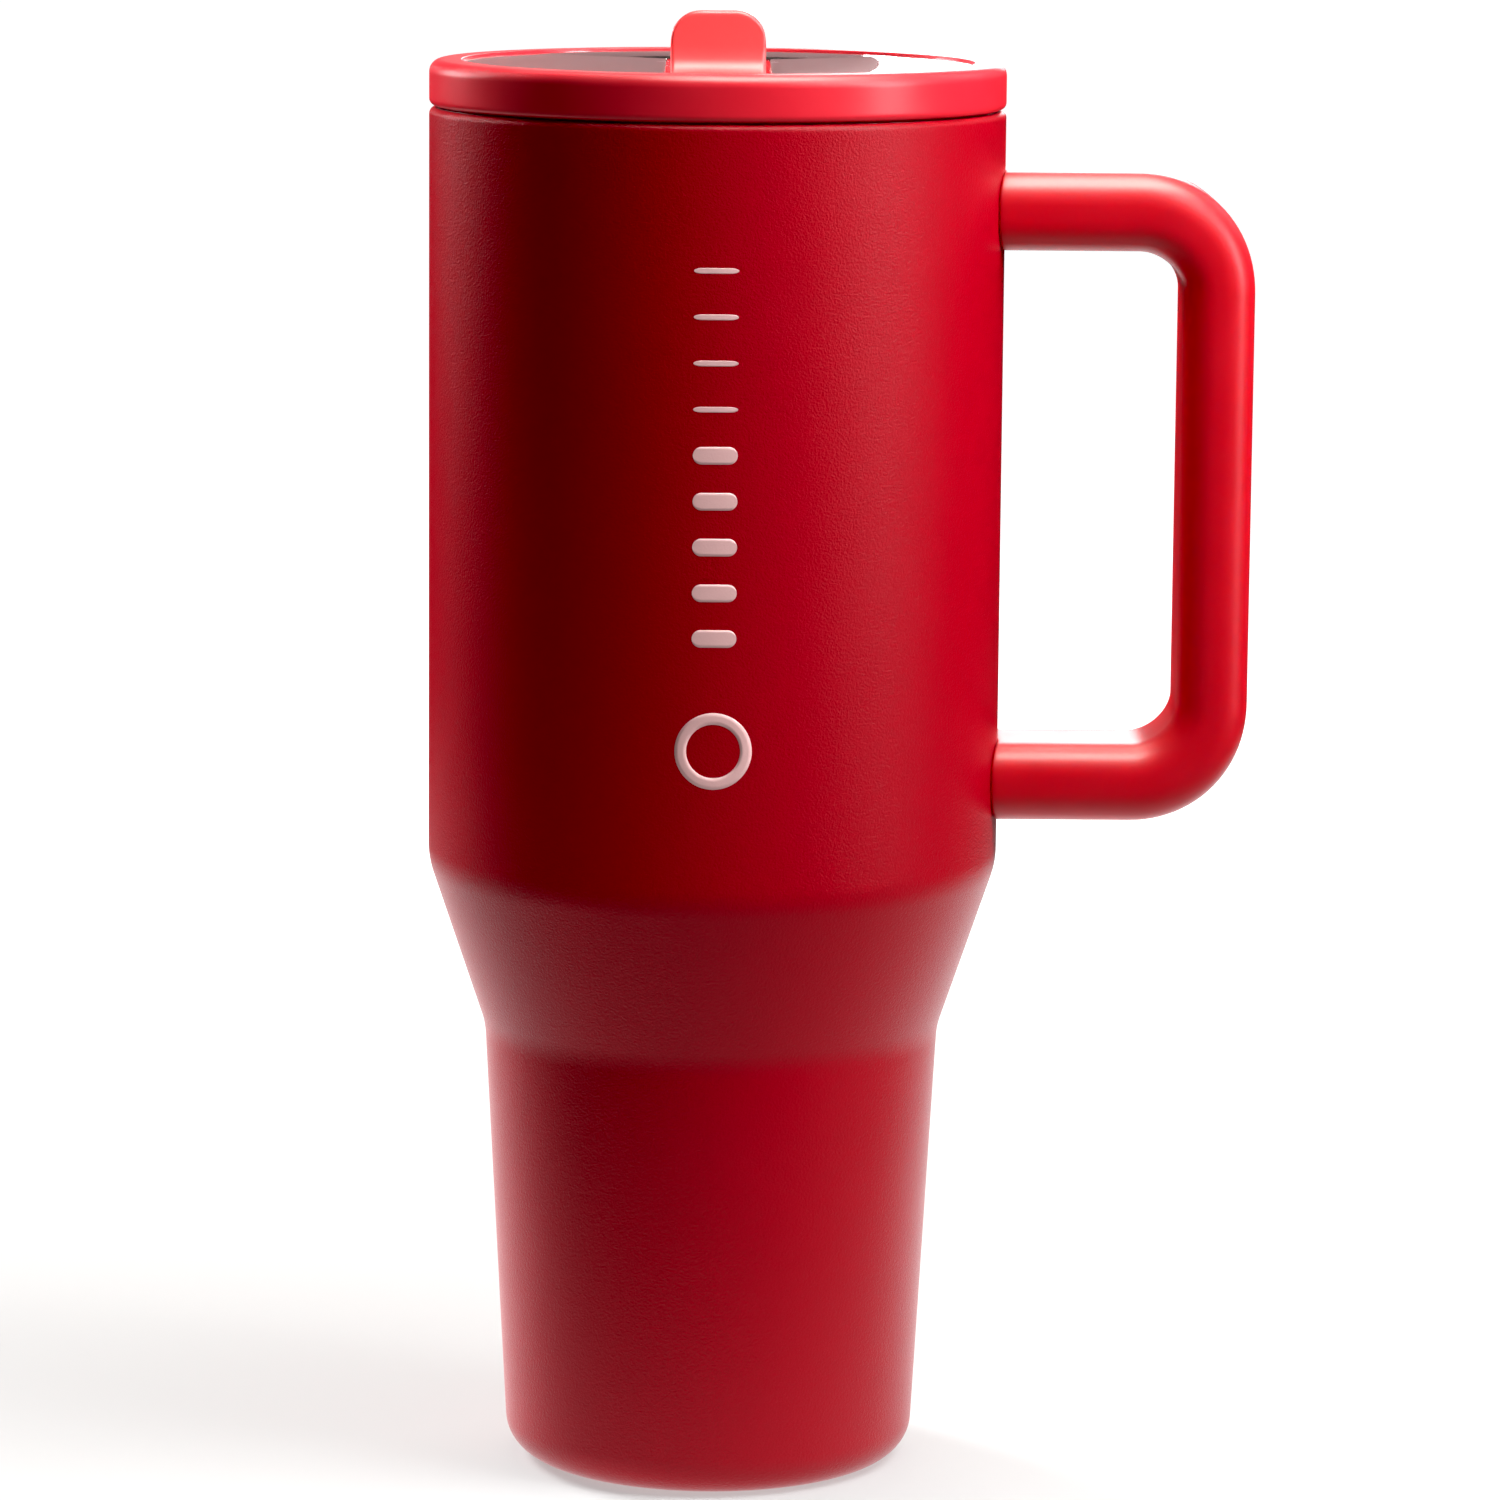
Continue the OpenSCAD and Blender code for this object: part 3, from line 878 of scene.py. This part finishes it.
screw_holes = []
for arm_z in (upper_z, lower_z):
    below = Vector((screw_x, 0, arm_z - arm_t))
    within = Vector((screw_x, 0, arm_z - arm_t / 2 + 1.5 * skin_t))
    screw_holes.append((below, within, plug_r + plug_gap))
skin_finish = soft_skin()
handle_grip = new_piece(
    "handle_grip", carved("handle_grip", loft_mesh("skin", skin_rings(), True), screw_holes)
)
paint(handle_grip, skin_finish)
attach(handle_grip, "cup")
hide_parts("handle_skin")

plug_face = -arm_t / 2 + plug_inset
one_plug = turned(
    "one_plug",
    [
        (0.0, plug_face, 0.0),
        (plug_r, plug_face, plug_edge),
        (plug_r, plug_face + plug_h, 0.0),
        (0.0, plug_face + plug_h, 0.0),
    ],
    skin_finish,
)
hole_covers = grown(
    "hole_covers",
    one_plug.data,
    row_of_pieces,
    Count=2,
    Start=(screw_x, 0.0, upper_z),
    Step=(0.0, 0.0, lower_z - upper_z),
    Heavy_count=2,
    Fine_share=1.0,
    Material=skin_finish,
)
bpy.data.objects.remove(one_plug)
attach(hole_covers, "cup")
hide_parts("screw_plugs")


def moulded(name, dark, light, roughness, grain_size=0.0004, bump=0.4, **constants):
    """Moulded plastic or rubber with a faint texture and slow changes of tone and gloss."""
    material, tree, shader = new_finish(name)
    fine = grain(tree, grain_size=grain_size, blotch_size=0.01)
    glossiest = roughness - mould_gloss_half_range
    dullest = roughness + mould_gloss_half_range
    feed(
        tree,
        shader,
        Base_Color=mixed(tree, fine["Tone"], dark, light),
        Roughness=ranged(tree, fine["Tone"], glossiest, dullest),
        Normal=bumped(tree, fine["Height"], mould_grain_h, bump),
    )
    preset(shader, **constants)
    return material


repaint("handle_core", moulded("dark_red_core", (0.2, 0.0, 0.01), (0.27, 0.01, 0.02), 0.5))
for bracket in ("upper_bracket", "lower_bracket"):
    repaint(bracket, satin_steel)
screw_steel = bare_steel("screw_steel", 0.0002, (0.6, 0.6, 0.6), (0.74, 0.74, 0.73), 0.35)
repaint("handle_screws", screw_steel)


# ---------------------------------------------------------------- lid ring and gasket
# The coloured ring is moulded in one with the plug skirt that goes into the mouth.  A milky
# silicone gasket with two lips sits in the skirt's groove and holds the lid by friction.

ring_low, ring_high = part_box("lid_ring")
lid_top = ring_high.z
skirt_low = ring_low.z
seat_gap = 0.0003
lid_seat = brim_z + seat_gap
ring_w = 0.0057
ring_hole_r = body_r - ring_w
ring_edge = 0.0022
skirt_t = 0.0025
skirt_room = 0.0016
skirt_r = flange_r - skirt_room
skirt_edge = 0.0005
lead_in = 0.0008
skirt_root = 0.0004
gasket_low, gasket_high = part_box("lid_gasket")
window_low, window_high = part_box("lid_window")
window_top = window_high.z
window_t = 0.0022
window_seal_t = 0.0008
ledge_z = window_top - window_t - window_seal_t
groove_depth = 0.0012
groove_room = 0.0001
groove_top = gasket_high.z + groove_room

lid_red = moulded("coral_lid_plastic", (0.68, 0.014, 0.028), (0.74, 0.018, 0.034), 0.32)
lid_rim = turned(
    "lid_rim",
    [
        (skirt_r - skirt_t, skirt_low, skirt_edge),
        (skirt_r, skirt_low, lead_in),
        (skirt_r, gasket_low.z, 0.0),
        (skirt_r - groove_depth, gasket_low.z, 0.0),
        (skirt_r - groove_depth, groove_top, 0.0),
        (skirt_r, groove_top, 0.0),
        (skirt_r, lid_seat, skirt_root),
        (body_r, lid_seat, brim_edge),
        (body_r, lid_top, ring_edge),
        (ring_hole_r, lid_top, (lid_top - window_top) / 2),
        (ring_hole_r, ledge_z, 0.0),
        (skirt_r - skirt_t, ledge_z, skirt_edge),
    ],
    lid_red,
    steps=10,
)
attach(lid_rim, "lid")
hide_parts("lid_ring")

milky_silicone = moulded(
    "milky_silicone",
    (0.72, 0.66, 0.64),
    (0.82, 0.77, 0.75),
    0.5,
    grain_size=0.0002,
    Subsurface_Weight=0.35,
    Subsurface_Scale=0.002,
)
gasket_room = 0.0003
gasket_in_r = skirt_r - groove_depth + gasket_room
web_proud = 0.0004
web_r = skirt_r + web_proud
lip_r = gasket_high.x
lip_t = (gasket_high.z - gasket_low.z) / 4
lip_round = 0.00025
lip_outline = [(gasket_in_r, gasket_low.z, 0.0)]
for lip_z in (gasket_low.z, gasket_low.z + 2.5 * lip_t):
    lip_outline += [
        (web_r, lip_z, 0.0),
        (lip_r, lip_z + 0.5 * lip_t, lip_round),
        (lip_r, lip_z + lip_t, lip_round),
        (web_r, lip_z + 1.5 * lip_t, 0.0),
    ]
lip_outline.append((gasket_in_r, gasket_high.z, 0.0))
mouth_gasket = turned("mouth_gasket", lip_outline, milky_silicone)
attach(mouth_gasket, "gasket")
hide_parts("lid_gasket")

seal_inset = 0.0006
seal_edge = 0.0002
seal_in_r = skirt_r - skirt_t + seal_inset
seal_out_r = ring_hole_r - fit_gap
window_ring = turned(
    "window_ring",
    [
        (seal_in_r, ledge_z, 0.0),
        (seal_out_r, ledge_z, 0.0),
        (seal_out_r, ledge_z + window_seal_t, 0.0),
        (seal_in_r, ledge_z + window_seal_t, seal_edge),
    ],
    milky_silicone,
)
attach(window_ring, "lid")
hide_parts("window_seal")


# ---------------------------------------------------------------- window
# A clear, faintly mauve disc, moulded in one with the trough that the spout folds into and the
# port that holds the straw.  It is welded to the ring over its silicone seal.

window_r = window_high.x
port_low_z = window_low.z
pin_low, pin_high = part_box("spout_pins")
hinge_y = (pin_low.y + pin_high.y) / 2
hinge_z = (pin_low.z + pin_high.z) / 2
pin_r = (pin_high.z - pin_low.z) / 2
barrel_r = window_top - hinge_z
spout_low, spout_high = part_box("spout")
spout_w = spout_high.x - spout_low.x
trough_side_gap = 0.0008
trough_gap = 0.0004
trough_border = 0.0083
trough_t = 0.0019
trough_half_w = spout_w / 2 + trough_side_gap
trough_front_y = -window_r + trough_border
trough_back_y = hinge_y + barrel_r + trough_gap
trough_floor_z = hinge_z - barrel_r - trough_gap
trough_front_round = 0.004
trough_back_round = 0.0006
port_t = 0.0024
port_top_z = trough_floor_z - port_t
straw_low, straw_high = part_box("straw")
straw_r = (straw_high.x - straw_low.x) / 2
straw_t = 0.0012
flow_r = straw_r - straw_t
seat_w = 0.0017
seat_r = flow_r + seat_w
seat_drop = 0.0012
socket_low, socket_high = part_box("straw_socket")
port_r = socket_high.x
sleeve_t = 0.00125
sleeve_r = straw_r + sleeve_t
valve_low, valve_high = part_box("vent_valve")
vent_y = (valve_low.y + valve_high.y) / 2
vent_flange_r = valve_high.x
vent_flange_t = 0.0008
vent_hole_r = 0.002
past_face = 0.001
pin_reach = 0.02
rim_edge = 0.0004
rim_steps = 4
disc_edge = 0.0002
circle_sides = 180
ray_step = 3
least_turn = 0.004
clear_colour = (0.86, 0.73, 0.74)
clear_shade = 0.96


def trough_plan(margin):
    """Plan of the trough, grown by the margin, as a closed list of points."""
    front_corner = trough_front_round + margin
    back_corner = max(trough_back_round + margin, trough_back_round / 2)
    half_w = trough_half_w + margin
    front = trough_front_y - margin
    back = trough_back_y + margin
    return outline(
        [
            (-half_w, front, front_corner),
            (half_w, front, front_corner),
            (half_w, back, back_corner),
            (-half_w, back, back_corner),
        ],
        steps=12,
    )


def circle_plan(radius, middle_y=0.0):
    """Circle as a closed list of points."""
    angles = [2 * math.pi * step / circle_sides for step in range(circle_sides)]
    return [Vector((radius * math.cos(a), middle_y + radius * math.sin(a))) for a in angles]


def plan_angles():
    """Directions from the port's middle: evenly all round, and to each corner of the trough."""
    angles = {round(math.radians(turn), 5) for turn in range(-180, 180, ray_step)}
    for point in trough_plan(0.0):
        angles.add(round(math.atan2(point.y - hinge_y, point.x), 5))
    ordered = sorted(angles)
    kept = [ordered[0]]
    for angle in ordered[1:]:
        if angle - kept[-1] > least_turn:
            kept.append(angle)
    return kept


def met(plan, angle):
    """Point where the ray at an angle from the port's middle leaves the plan."""
    parallel = 1e-14
    slack = 1e-6
    along = Vector((math.cos(angle), math.sin(angle)))
    start = Vector((0, hinge_y))
    best = None
    for i, first in enumerate(plan):
        second = plan[(i + 1) % len(plan)]
        side = second - first
        crossing = along.x * side.y - along.y * side.x
        if abs(crossing) < parallel:
            continue
        offset = first - start
        reach = (offset.x * side.y - offset.y * side.x) / crossing
        share = (offset.x * along.y - offset.y * along.x) / crossing
        on_side = -slack <= share <= 1 + slack
        if reach > 0 and on_side and (best is None or reach > best):
            best = reach
    return start + along * best


def window_levels():
    """Plans and heights, from the top face down the trough and port and back up outside."""
    levels = []
    quarter = [math.pi / 2 * step / rim_steps for step in range(rim_steps + 1)]
    for turn in quarter:
        inset = rim_edge * (1 - math.sin(turn))
        levels.append((trough_plan(inset), window_top - rim_edge * (1 - math.cos(turn))))
    for turn in quarter:
        inset = rim_edge * (1 - math.cos(turn))
        levels.append((trough_plan(-inset), trough_floor_z + rim_edge * (1 - math.sin(turn))))
    levels += [
        (circle_plan(seat_r + fit_gap, hinge_y), trough_floor_z),
        (circle_plan(seat_r + fit_gap, hinge_y), trough_floor_z - seat_drop),
        (circle_plan(flow_r, hinge_y), trough_floor_z - seat_drop),
        (circle_plan(flow_r, hinge_y), port_top_z),
        (circle_plan(sleeve_r + fit_gap, hinge_y), port_top_z),
        (circle_plan(sleeve_r + fit_gap, hinge_y), port_low_z),
        (circle_plan(port_r, hinge_y), port_low_z),
        (circle_plan(port_r, hinge_y), port_top_z),
    ]
    under_z = window_top - window_t
    for turn in quarter:
        inset = rim_edge * (1 - math.sin(turn))
        levels.append((trough_plan(trough_t - inset), port_top_z + rim_edge * (1 - math.cos(turn))))
    levels += [
        (trough_plan(trough_t), under_z),
        (circle_plan(window_r), under_z),
        (circle_plan(window_r), window_top - disc_edge),
        (circle_plan(window_r - disc_edge), window_top),
    ]
    return levels


def clear_plastic():
    """Clear plastic with a faint tint and faint ripples; light falls through it to the inside."""
    material, tree, shader = new_finish("clear_window_plastic")
    fine = grain(tree, grain_size=0.006, blotch_size=0.02)
    deeper = tuple(clear_shade * channel for channel in clear_colour)
    feed(
        tree,
        shader,
        Base_Color=mixed(tree, fine["Tone"], deeper, clear_colour),
        Roughness=ranged(tree, fine["Tone"], 0.03, 0.07),
        Normal=bumped(tree, fine["Height"], 0.00004, 0.25),
    )
    preset(shader, Transmission_Weight=1.0, IOR=1.5)
    open_way = add(tree, "ShaderNodeBsdfTransparent", {"Color": (0.9, 0.8, 0.8, 1)})
    to_light = add(tree, "ShaderNodeLightPath").outputs["Is Shadow Ray"]
    both = add(
        tree, "ShaderNodeMixShader", {0: to_light, 1: shader.outputs[0], 2: open_way.outputs[0]}
    )
    tree.links.new(both.outputs[0], tree.nodes["Material Output"].inputs["Surface"])
    return material


window_rings = []
for plan, height in window_levels():
    window_rings.append([Vector((*met(plan, angle), height)) for angle in plan_angles()])
vent_low = (0, vent_y, port_top_z - past_face)
vent_step = (0, vent_y, trough_floor_z - vent_flange_t)
vent_top = (0, vent_y, trough_floor_z + past_face)
window_cuts = [
    ((-pin_reach, hinge_y, hinge_z), (pin_reach, hinge_y, hinge_z), pin_r + fit_gap),
    (vent_low, vent_top, vent_hole_r + fit_gap),
    (vent_step, vent_top, vent_flange_r + fit_gap),
]
window_disc = new_piece(
    "window_disc", carved("window", loft_mesh("window", window_rings, True), window_cuts)
)
paint(window_disc, clear_plastic())
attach(window_disc, "lid")
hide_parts("lid_window")


# ---------------------------------------------------------------- straw and valves
# The straw is extruded from translucent red plastic and pushed into a silicone sleeve in the
# port.  Silicone also seats the spout's barrel and lets air in through a small duckbill valve.

straw_axis = (0.0, hinge_y, 0.0)
straw_edge = 0.0004
straw_finish = moulded(
    "red_straw_plastic",
    (0.7, 0.1, 0.11),
    (0.78, 0.16, 0.17),
    0.22,
    bump=0.2,
    Transmission_Weight=0.35,
    IOR=1.49,
)
drinking_straw = turned(
    "drinking_straw",
    [
        (flow_r, straw_low.z, straw_edge),
        (straw_r, straw_low.z, straw_edge),
        (straw_r, straw_high.z, straw_edge),
        (flow_r, straw_high.z, straw_edge),
    ],
    straw_finish,
    axis=straw_axis,
)
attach(drinking_straw, "lid")
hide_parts("straw")

sleeve_in_r = straw_r + fit_gap
silicone_edge = 0.0003
straw_sleeve = turned(
    "straw_sleeve",
    [
        (sleeve_in_r, socket_low.z, silicone_edge),
        (port_r, socket_low.z, silicone_edge),
        (port_r, port_low_z, seal_edge),
        (sleeve_r, port_low_z, 0.0),
        (sleeve_r, socket_high.z, 0.0),
        (sleeve_in_r, socket_high.z, 0.0),
    ],
    milky_silicone,
    axis=straw_axis,
)
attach(straw_sleeve, "lid")
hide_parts("straw_socket")

bill_l = 0.003
bill_r = 0.0012
bill_t = 0.0008
throat_r = 0.0008
bill_low_z = port_top_z - bill_l
air_valve = turned(
    "air_valve",
    [
        (throat_r, trough_floor_z, 0.0),
        (vent_flange_r, trough_floor_z, silicone_edge),
        (vent_flange_r, trough_floor_z - vent_flange_t, 0.0),
        (vent_hole_r, trough_floor_z - vent_flange_t, 0.0),
        (vent_hole_r, port_top_z, 0.0),
        (bill_r, bill_low_z, seal_edge),
        (0.0, bill_low_z, 0.0),
        (0.0, bill_low_z + bill_t, 0.0),
        (throat_r, port_top_z, 0.0),
    ],
    milky_silicone,
    axis=(0.0, vent_y, 0.0),
)
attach(air_valve, "lid")
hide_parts("vent_valve")

repaint("spout_seal", milky_silicone)
repaint("spout_pins", screw_steel)


# ---------------------------------------------------------------- spout
# One coral moulding: a barrel that turns on two steel pins, a flat arm with the drinking
# channel inside, and a raised tab for the finger.  It flips up through a quarter turn.

tip_y = spout_low.y
spout_l = hinge_y - tip_y
channel_r = 0.0032
channel_wall = 0.0012
belly = channel_r + channel_wall
tab_h = spout_high.z - window_top
tab_reach = 0.0274
tab_t = 0.0024
tab_corner = 0.0052
tab_rim = 0.0009
tab_back_foot = 0.0014
tab_foot = 0.005
tab_foot_drop = 0.0008
tip_drop = 0.0018
tip_edge = 0.0022
tip_low_edge = 0.0015
spout_edge = 0.0007
barrel_steps = 24
width_steps = 48
past_end = 0.01


def spout_side():
    """Side view round the barrel, along the belly to the tip and over the tab, from the axis."""
    top = barrel_r + tab_h
    belly_back = math.sqrt(barrel_r**2 - belly**2)
    start = math.atan2(-belly, -belly_back)
    barrel = []
    for step in range(barrel_steps):
        angle = start + (math.pi / 2 - start) * step / barrel_steps
        barrel.append(Vector((barrel_r * math.cos(angle), barrel_r * math.sin(angle))))
    arm = outline(
        [
            (0.0, barrel_r, 0.0),
            (tab_t - tab_reach, barrel_r, tab_back_foot),
            (tab_t - tab_reach, top, tab_rim),
            (-tab_reach, top, tab_rim),
            (-tab_reach, barrel_r - tab_foot_drop, tab_foot),
            (-spout_l, barrel_r - tip_drop, tip_edge),
            (-spout_l, -belly, tip_low_edge),
            (-belly_back, -belly, 0.0),
        ],
        steps=9,
    )
    return barrel + arm[:-3]


def drawn_in(points, shrink):
    """Side view with the top of the tab and the tip fallen back, as towards a rounded side."""
    tab_from = barrel_r + tab_foot - tab_foot_drop
    tab_to = barrel_r + tab_h - tab_rim
    tip_from = tab_reach + tab_foot
    tip_to = spout_l - tip_edge
    drawn = []
    for point in points:
        up = min(max((point.y - tab_from) / (tab_to - tab_from), 0.0), 1.0)
        out = min(max((-point.x - tip_from) / (tip_to - tip_from), 0.0), 1.0)
        drawn.append(Vector((point.x + shrink * out, point.y - shrink * up)))
    return drawn


def sunk(points, depth):
    """Closed outline moved inwards by a depth; its points run anticlockwise seen from +X."""
    moved = []
    for i, point in enumerate(points):
        along = (points[(i + 1) % len(points)] - points[i - 1]).normalized()
        moved.append(point + Vector((-along.y, along.x)) * depth)
    return moved


def spout_rings():
    """Side views across the width; corners, tip and tab are rounded towards the sides."""
    half_w = spout_w / 2
    rings = []
    for step in range(width_steps + 1):
        x = half_w * math.sin((step / width_steps - 0.5) * math.pi)
        past_corner = max(0.0, abs(x) - (half_w - tab_corner))
        shrink = tab_corner - math.sqrt(tab_corner**2 - past_corner**2)
        past_edge = max(0.0, abs(x) - (half_w - spout_edge))
        depth = spout_edge - math.sqrt(max(spout_edge**2 - past_edge**2, 0.0))
        side = sunk(drawn_in(spout_side(), shrink), depth)
        rings.append([Vector((x, hinge_y + p.x, hinge_z + p.y)) for p in side])
    return rings


# The spout's coral is painted much brighter than the lid ring's, as light passing through the tab
coral = moulded("coral_spout_plastic", (0.93, 0.075, 0.078), (0.97, 0.09, 0.093), 0.3)
channel_back = (0, hinge_y + past_end, hinge_z)
channel_front = (0, tip_y - past_end, hinge_z)
spout_cuts = [(channel_back, channel_front, channel_r)]
for side in (1, -1):
    pin_from = (side * (channel_r + channel_wall), hinge_y, hinge_z)
    pin_to = (side * pin_reach, hinge_y, hinge_z)
    spout_cuts.append((pin_from, pin_to, pin_r + fit_gap))
flip_spout = new_piece(
    "flip_spout", carved("spout", loft_mesh("spout", spout_rings(), False), spout_cuts)
)
paint(flip_spout, coral)
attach(flip_spout, "spout")
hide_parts("spout")

repaint("vent_plug", milky_silicone)


# ---------------------------------------------------------------- studio
# The mug stands on a pale floor between softboxes.  The floor has a painted shadow patch, and
# painted glows of light and sheen round the mug.  Each softbox is one lamp that lights the
# surfaces and one that shows as their gloss, and two cards behind show only in the lid's gloss.

mug_middle = Vector((0.0, 0.0, brim_z / 2))
white = (1.0, 1.0, 1.0)
warm = (1.0, 0.95, 0.85)
mauve = (0.92, 0.52, 0.52)
floor_half_l = 12.0
floor_drop = 0.00005
shadow_side = (-0.16, 0.14, 0.0)
behind_mug = (0.0, 0.27, 0.0)
card_y = 1.3
ambient = 0.02
black_level = (0.0, 0.007, 0.006)


def glow(tree, near, far, inner, outer, middle=(0.0, 0.0, 0.0)):
    """Glow that goes from near to far with the distance from a point, inner to outer metres."""
    spot = add(tree, "ShaderNodeTexCoord").outputs["Object"]
    distance = add(tree, "ShaderNodeVectorMath", {0: spot, 1: middle}, operation="DISTANCE")
    fade = add(
        tree,
        "ShaderNodeMapRange",
        {
            "Value": distance.outputs["Value"],
            "From Min": inner,
            "From Max": outer,
            "To Min": near,
            "To Max": far,
        },
        interpolation_type="SMOOTHSTEP",
    )
    return add(tree, "ShaderNodeEmission", {"Strength": fade.outputs["Result"]}).outputs[0]


def pale_floor():
    """Near-white floor with a painted shadow; painted glows light the mug and show in its gloss."""
    material, tree, shader = new_finish("pale_floor")
    preset(shader, Base_Color=(0.3, 0.3, 0.3, 1), Roughness=0.9, Specular_IOR_Level=0.0)
    # The camera sees this glow dimmest at shadow_side: a painted shadow on the floor
    shadowed_floor_glow = glow(tree, near=0.34, far=1.05, inner=0.1, outer=0.6, middle=shadow_side)
    seen = add(tree, "ShaderNodeAddShader", {0: shader.outputs[0], 1: shadowed_floor_glow})
    dim = add(tree, "ShaderNodeBsdfDiffuse", {"Color": (0.15, 0.15, 0.15, 1)})
    # Painted pool of light round the foot, which lights the mug's lower wall
    painted_light_pool = glow(tree, near=0.9, far=0.0, inner=0.06, outer=0.3)
    felt = add(tree, "ShaderNodeAddShader", {0: dim.outputs[0], 1: painted_light_pool})
    # Painted gleam behind the mug, seen only in the mug's gloss
    painted_gleam = glow(tree, near=1.8, far=0.0, inner=0.2, outer=0.45, middle=behind_mug)
    path = add(tree, "ShaderNodeLightPath").outputs
    to_mug = add(
        tree, "ShaderNodeMixShader", {0: path["Is Glossy Ray"], 1: felt.outputs[0], 2: painted_gleam}
    )
    both = add(
        tree,
        "ShaderNodeMixShader",
        {0: path["Is Camera Ray"], 1: to_mug.outputs[0], 2: seen.outputs[0]},
    )
    tree.links.new(both.outputs[0], tree.nodes["Material Output"].inputs["Surface"])
    return material


floor_mesh = bpy.data.meshes.new("studio_floor")
sheet = bmesh.new()
bmesh.ops.create_grid(sheet, x_segments=1, y_segments=1, size=floor_half_l)
bmesh.ops.translate(sheet, vec=(0, 0, -floor_drop), verts=sheet.verts)
sheet.to_mesh(floor_mesh)
sheet.free()
floor_mesh.materials.append(pale_floor())
ground = bpy.data.objects.new("studio_floor", floor_mesh)
bpy.context.scene.collection.objects.link(ground)


def area_lamp(name, place, facing, width, height, power, tint):
    """Rectangular lamp that the camera doesn't see; power is in watts."""
    lamp = bpy.data.lights.new(name, "AREA")
    lamp.shape = "RECTANGLE"
    lamp.size = width
    lamp.size_y = height
    lamp.energy = power
    lamp.color = tint
    light = bpy.data.objects.new(name, lamp)
    light.location = place
    light.rotation_euler = facing
    light.visible_camera = False
    bpy.context.scene.collection.objects.link(light)
    return light


def softbox(name, azimuth, elevation, distance, width, height, lit, shine, tint=white):
    """Softbox that faces the mug; azimuth 0 stands on -Y, 90 on +X.

    Its two powers in watts are what lights the surfaces and what shows as their gloss.
    """
    turn = math.radians(azimuth)
    rise = math.radians(elevation)
    away = Vector(
        (math.sin(turn) * math.cos(rise), -math.cos(turn) * math.cos(rise), math.sin(rise))
    )
    place = mug_middle + away * distance
    facing = away.to_track_quat("Z", "Y").to_euler()
    for part, power in (("lit", lit), ("shine", shine)):
        if power > 0:
            light = area_lamp(f"{name}_{part}", place, facing, width, height, power, tint)
            light.visible_diffuse = part == "lit"
            light.visible_glossy = part == "shine"


def card(name, middle, width, height, brightness, tint=white):
    """Glowing card behind the mug, that only shows as a reflection."""
    power = brightness * math.pi * width * height
    facing = (math.radians(-90), 0, 0)
    light = area_lamp(name, middle, facing, width, height, power, tint)
    light.visible_diffuse = False


# Name, azimuth, elevation, distance, width, height, watts that light, watts that show, tint
softbox("key_softbox", 68, 34, 0.9, 0.4, 0.5, 3.8, 0.0)
softbox("key_shine", 70, 14, 1.3, 0.3, 0.6, 0.0, 5.5)
softbox("high_softbox", 60, 48, 0.45, 0.25, 0.2, 2.3, 1.0)
softbox("left_back_softbox", -132, 28, 1.3, 0.5, 0.6, 38.0, 2.0)
softbox("left_shine", -128, 15, 1.3, 0.4, 0.36, 0.0, 2.6)
softbox("back_softbox", 180, 58, 1.3, 0.6, 0.5, 6.0, 15.0, warm)
softbox("overhead_softbox", 60, 80, 1.2, 0.8, 0.7, 4.0, 44.0, warm)
softbox("right_back_softbox", 140, 28, 1.3, 0.5, 0.5, 3.0, 4.0)

# Name, middle, width, height, brightness, tint
card("mauve_card", (-0.245, card_y, 0.34), 0.6, 0.3, 0.5, mauve)
card("white_card", (0.185, card_y, 0.52), 0.29, 0.44, 8.0)

world = bpy.data.worlds.new("studio_air")
world.use_nodes = True
air = world.node_tree
background = air.nodes["Background"]
background.inputs["Color"].default_value = (*white, 1)
to_camera = add(air, "ShaderNodeLightPath").outputs["Is Camera Ray"]
air.links.new(ranged(air, to_camera, ambient, 1.0), background.inputs["Strength"])
bpy.context.scene.world = world


# ---------------------------------------------------------------- camera
# The camera stands in front at the height of the lid with a long lens, and looks a little down
# at the mug.

camera_data = bpy.data.cameras.new("camera")
camera_data.lens = 154.85
camera_data.sensor_width = 36.0
camera = bpy.data.objects.new("camera", camera_data)
camera.location = (0.0, -1.1332, 0.3064)
heading = Matrix.Rotation(math.radians(-0.332), 3, "Z")
pitch = Matrix.Rotation(math.radians(90 - 8.969), 3, "X")
roll = Matrix.Rotation(math.radians(0.483), 3, "Z")
camera.rotation_euler = (heading @ pitch @ roll).to_euler()
bpy.context.scene.collection.objects.link(camera)
bpy.context.scene.camera = camera
view = bpy.context.scene.view_settings
view.view_transform = "Standard"
view.use_curve_mapping = True
view.curve_mapping.black_level = black_level
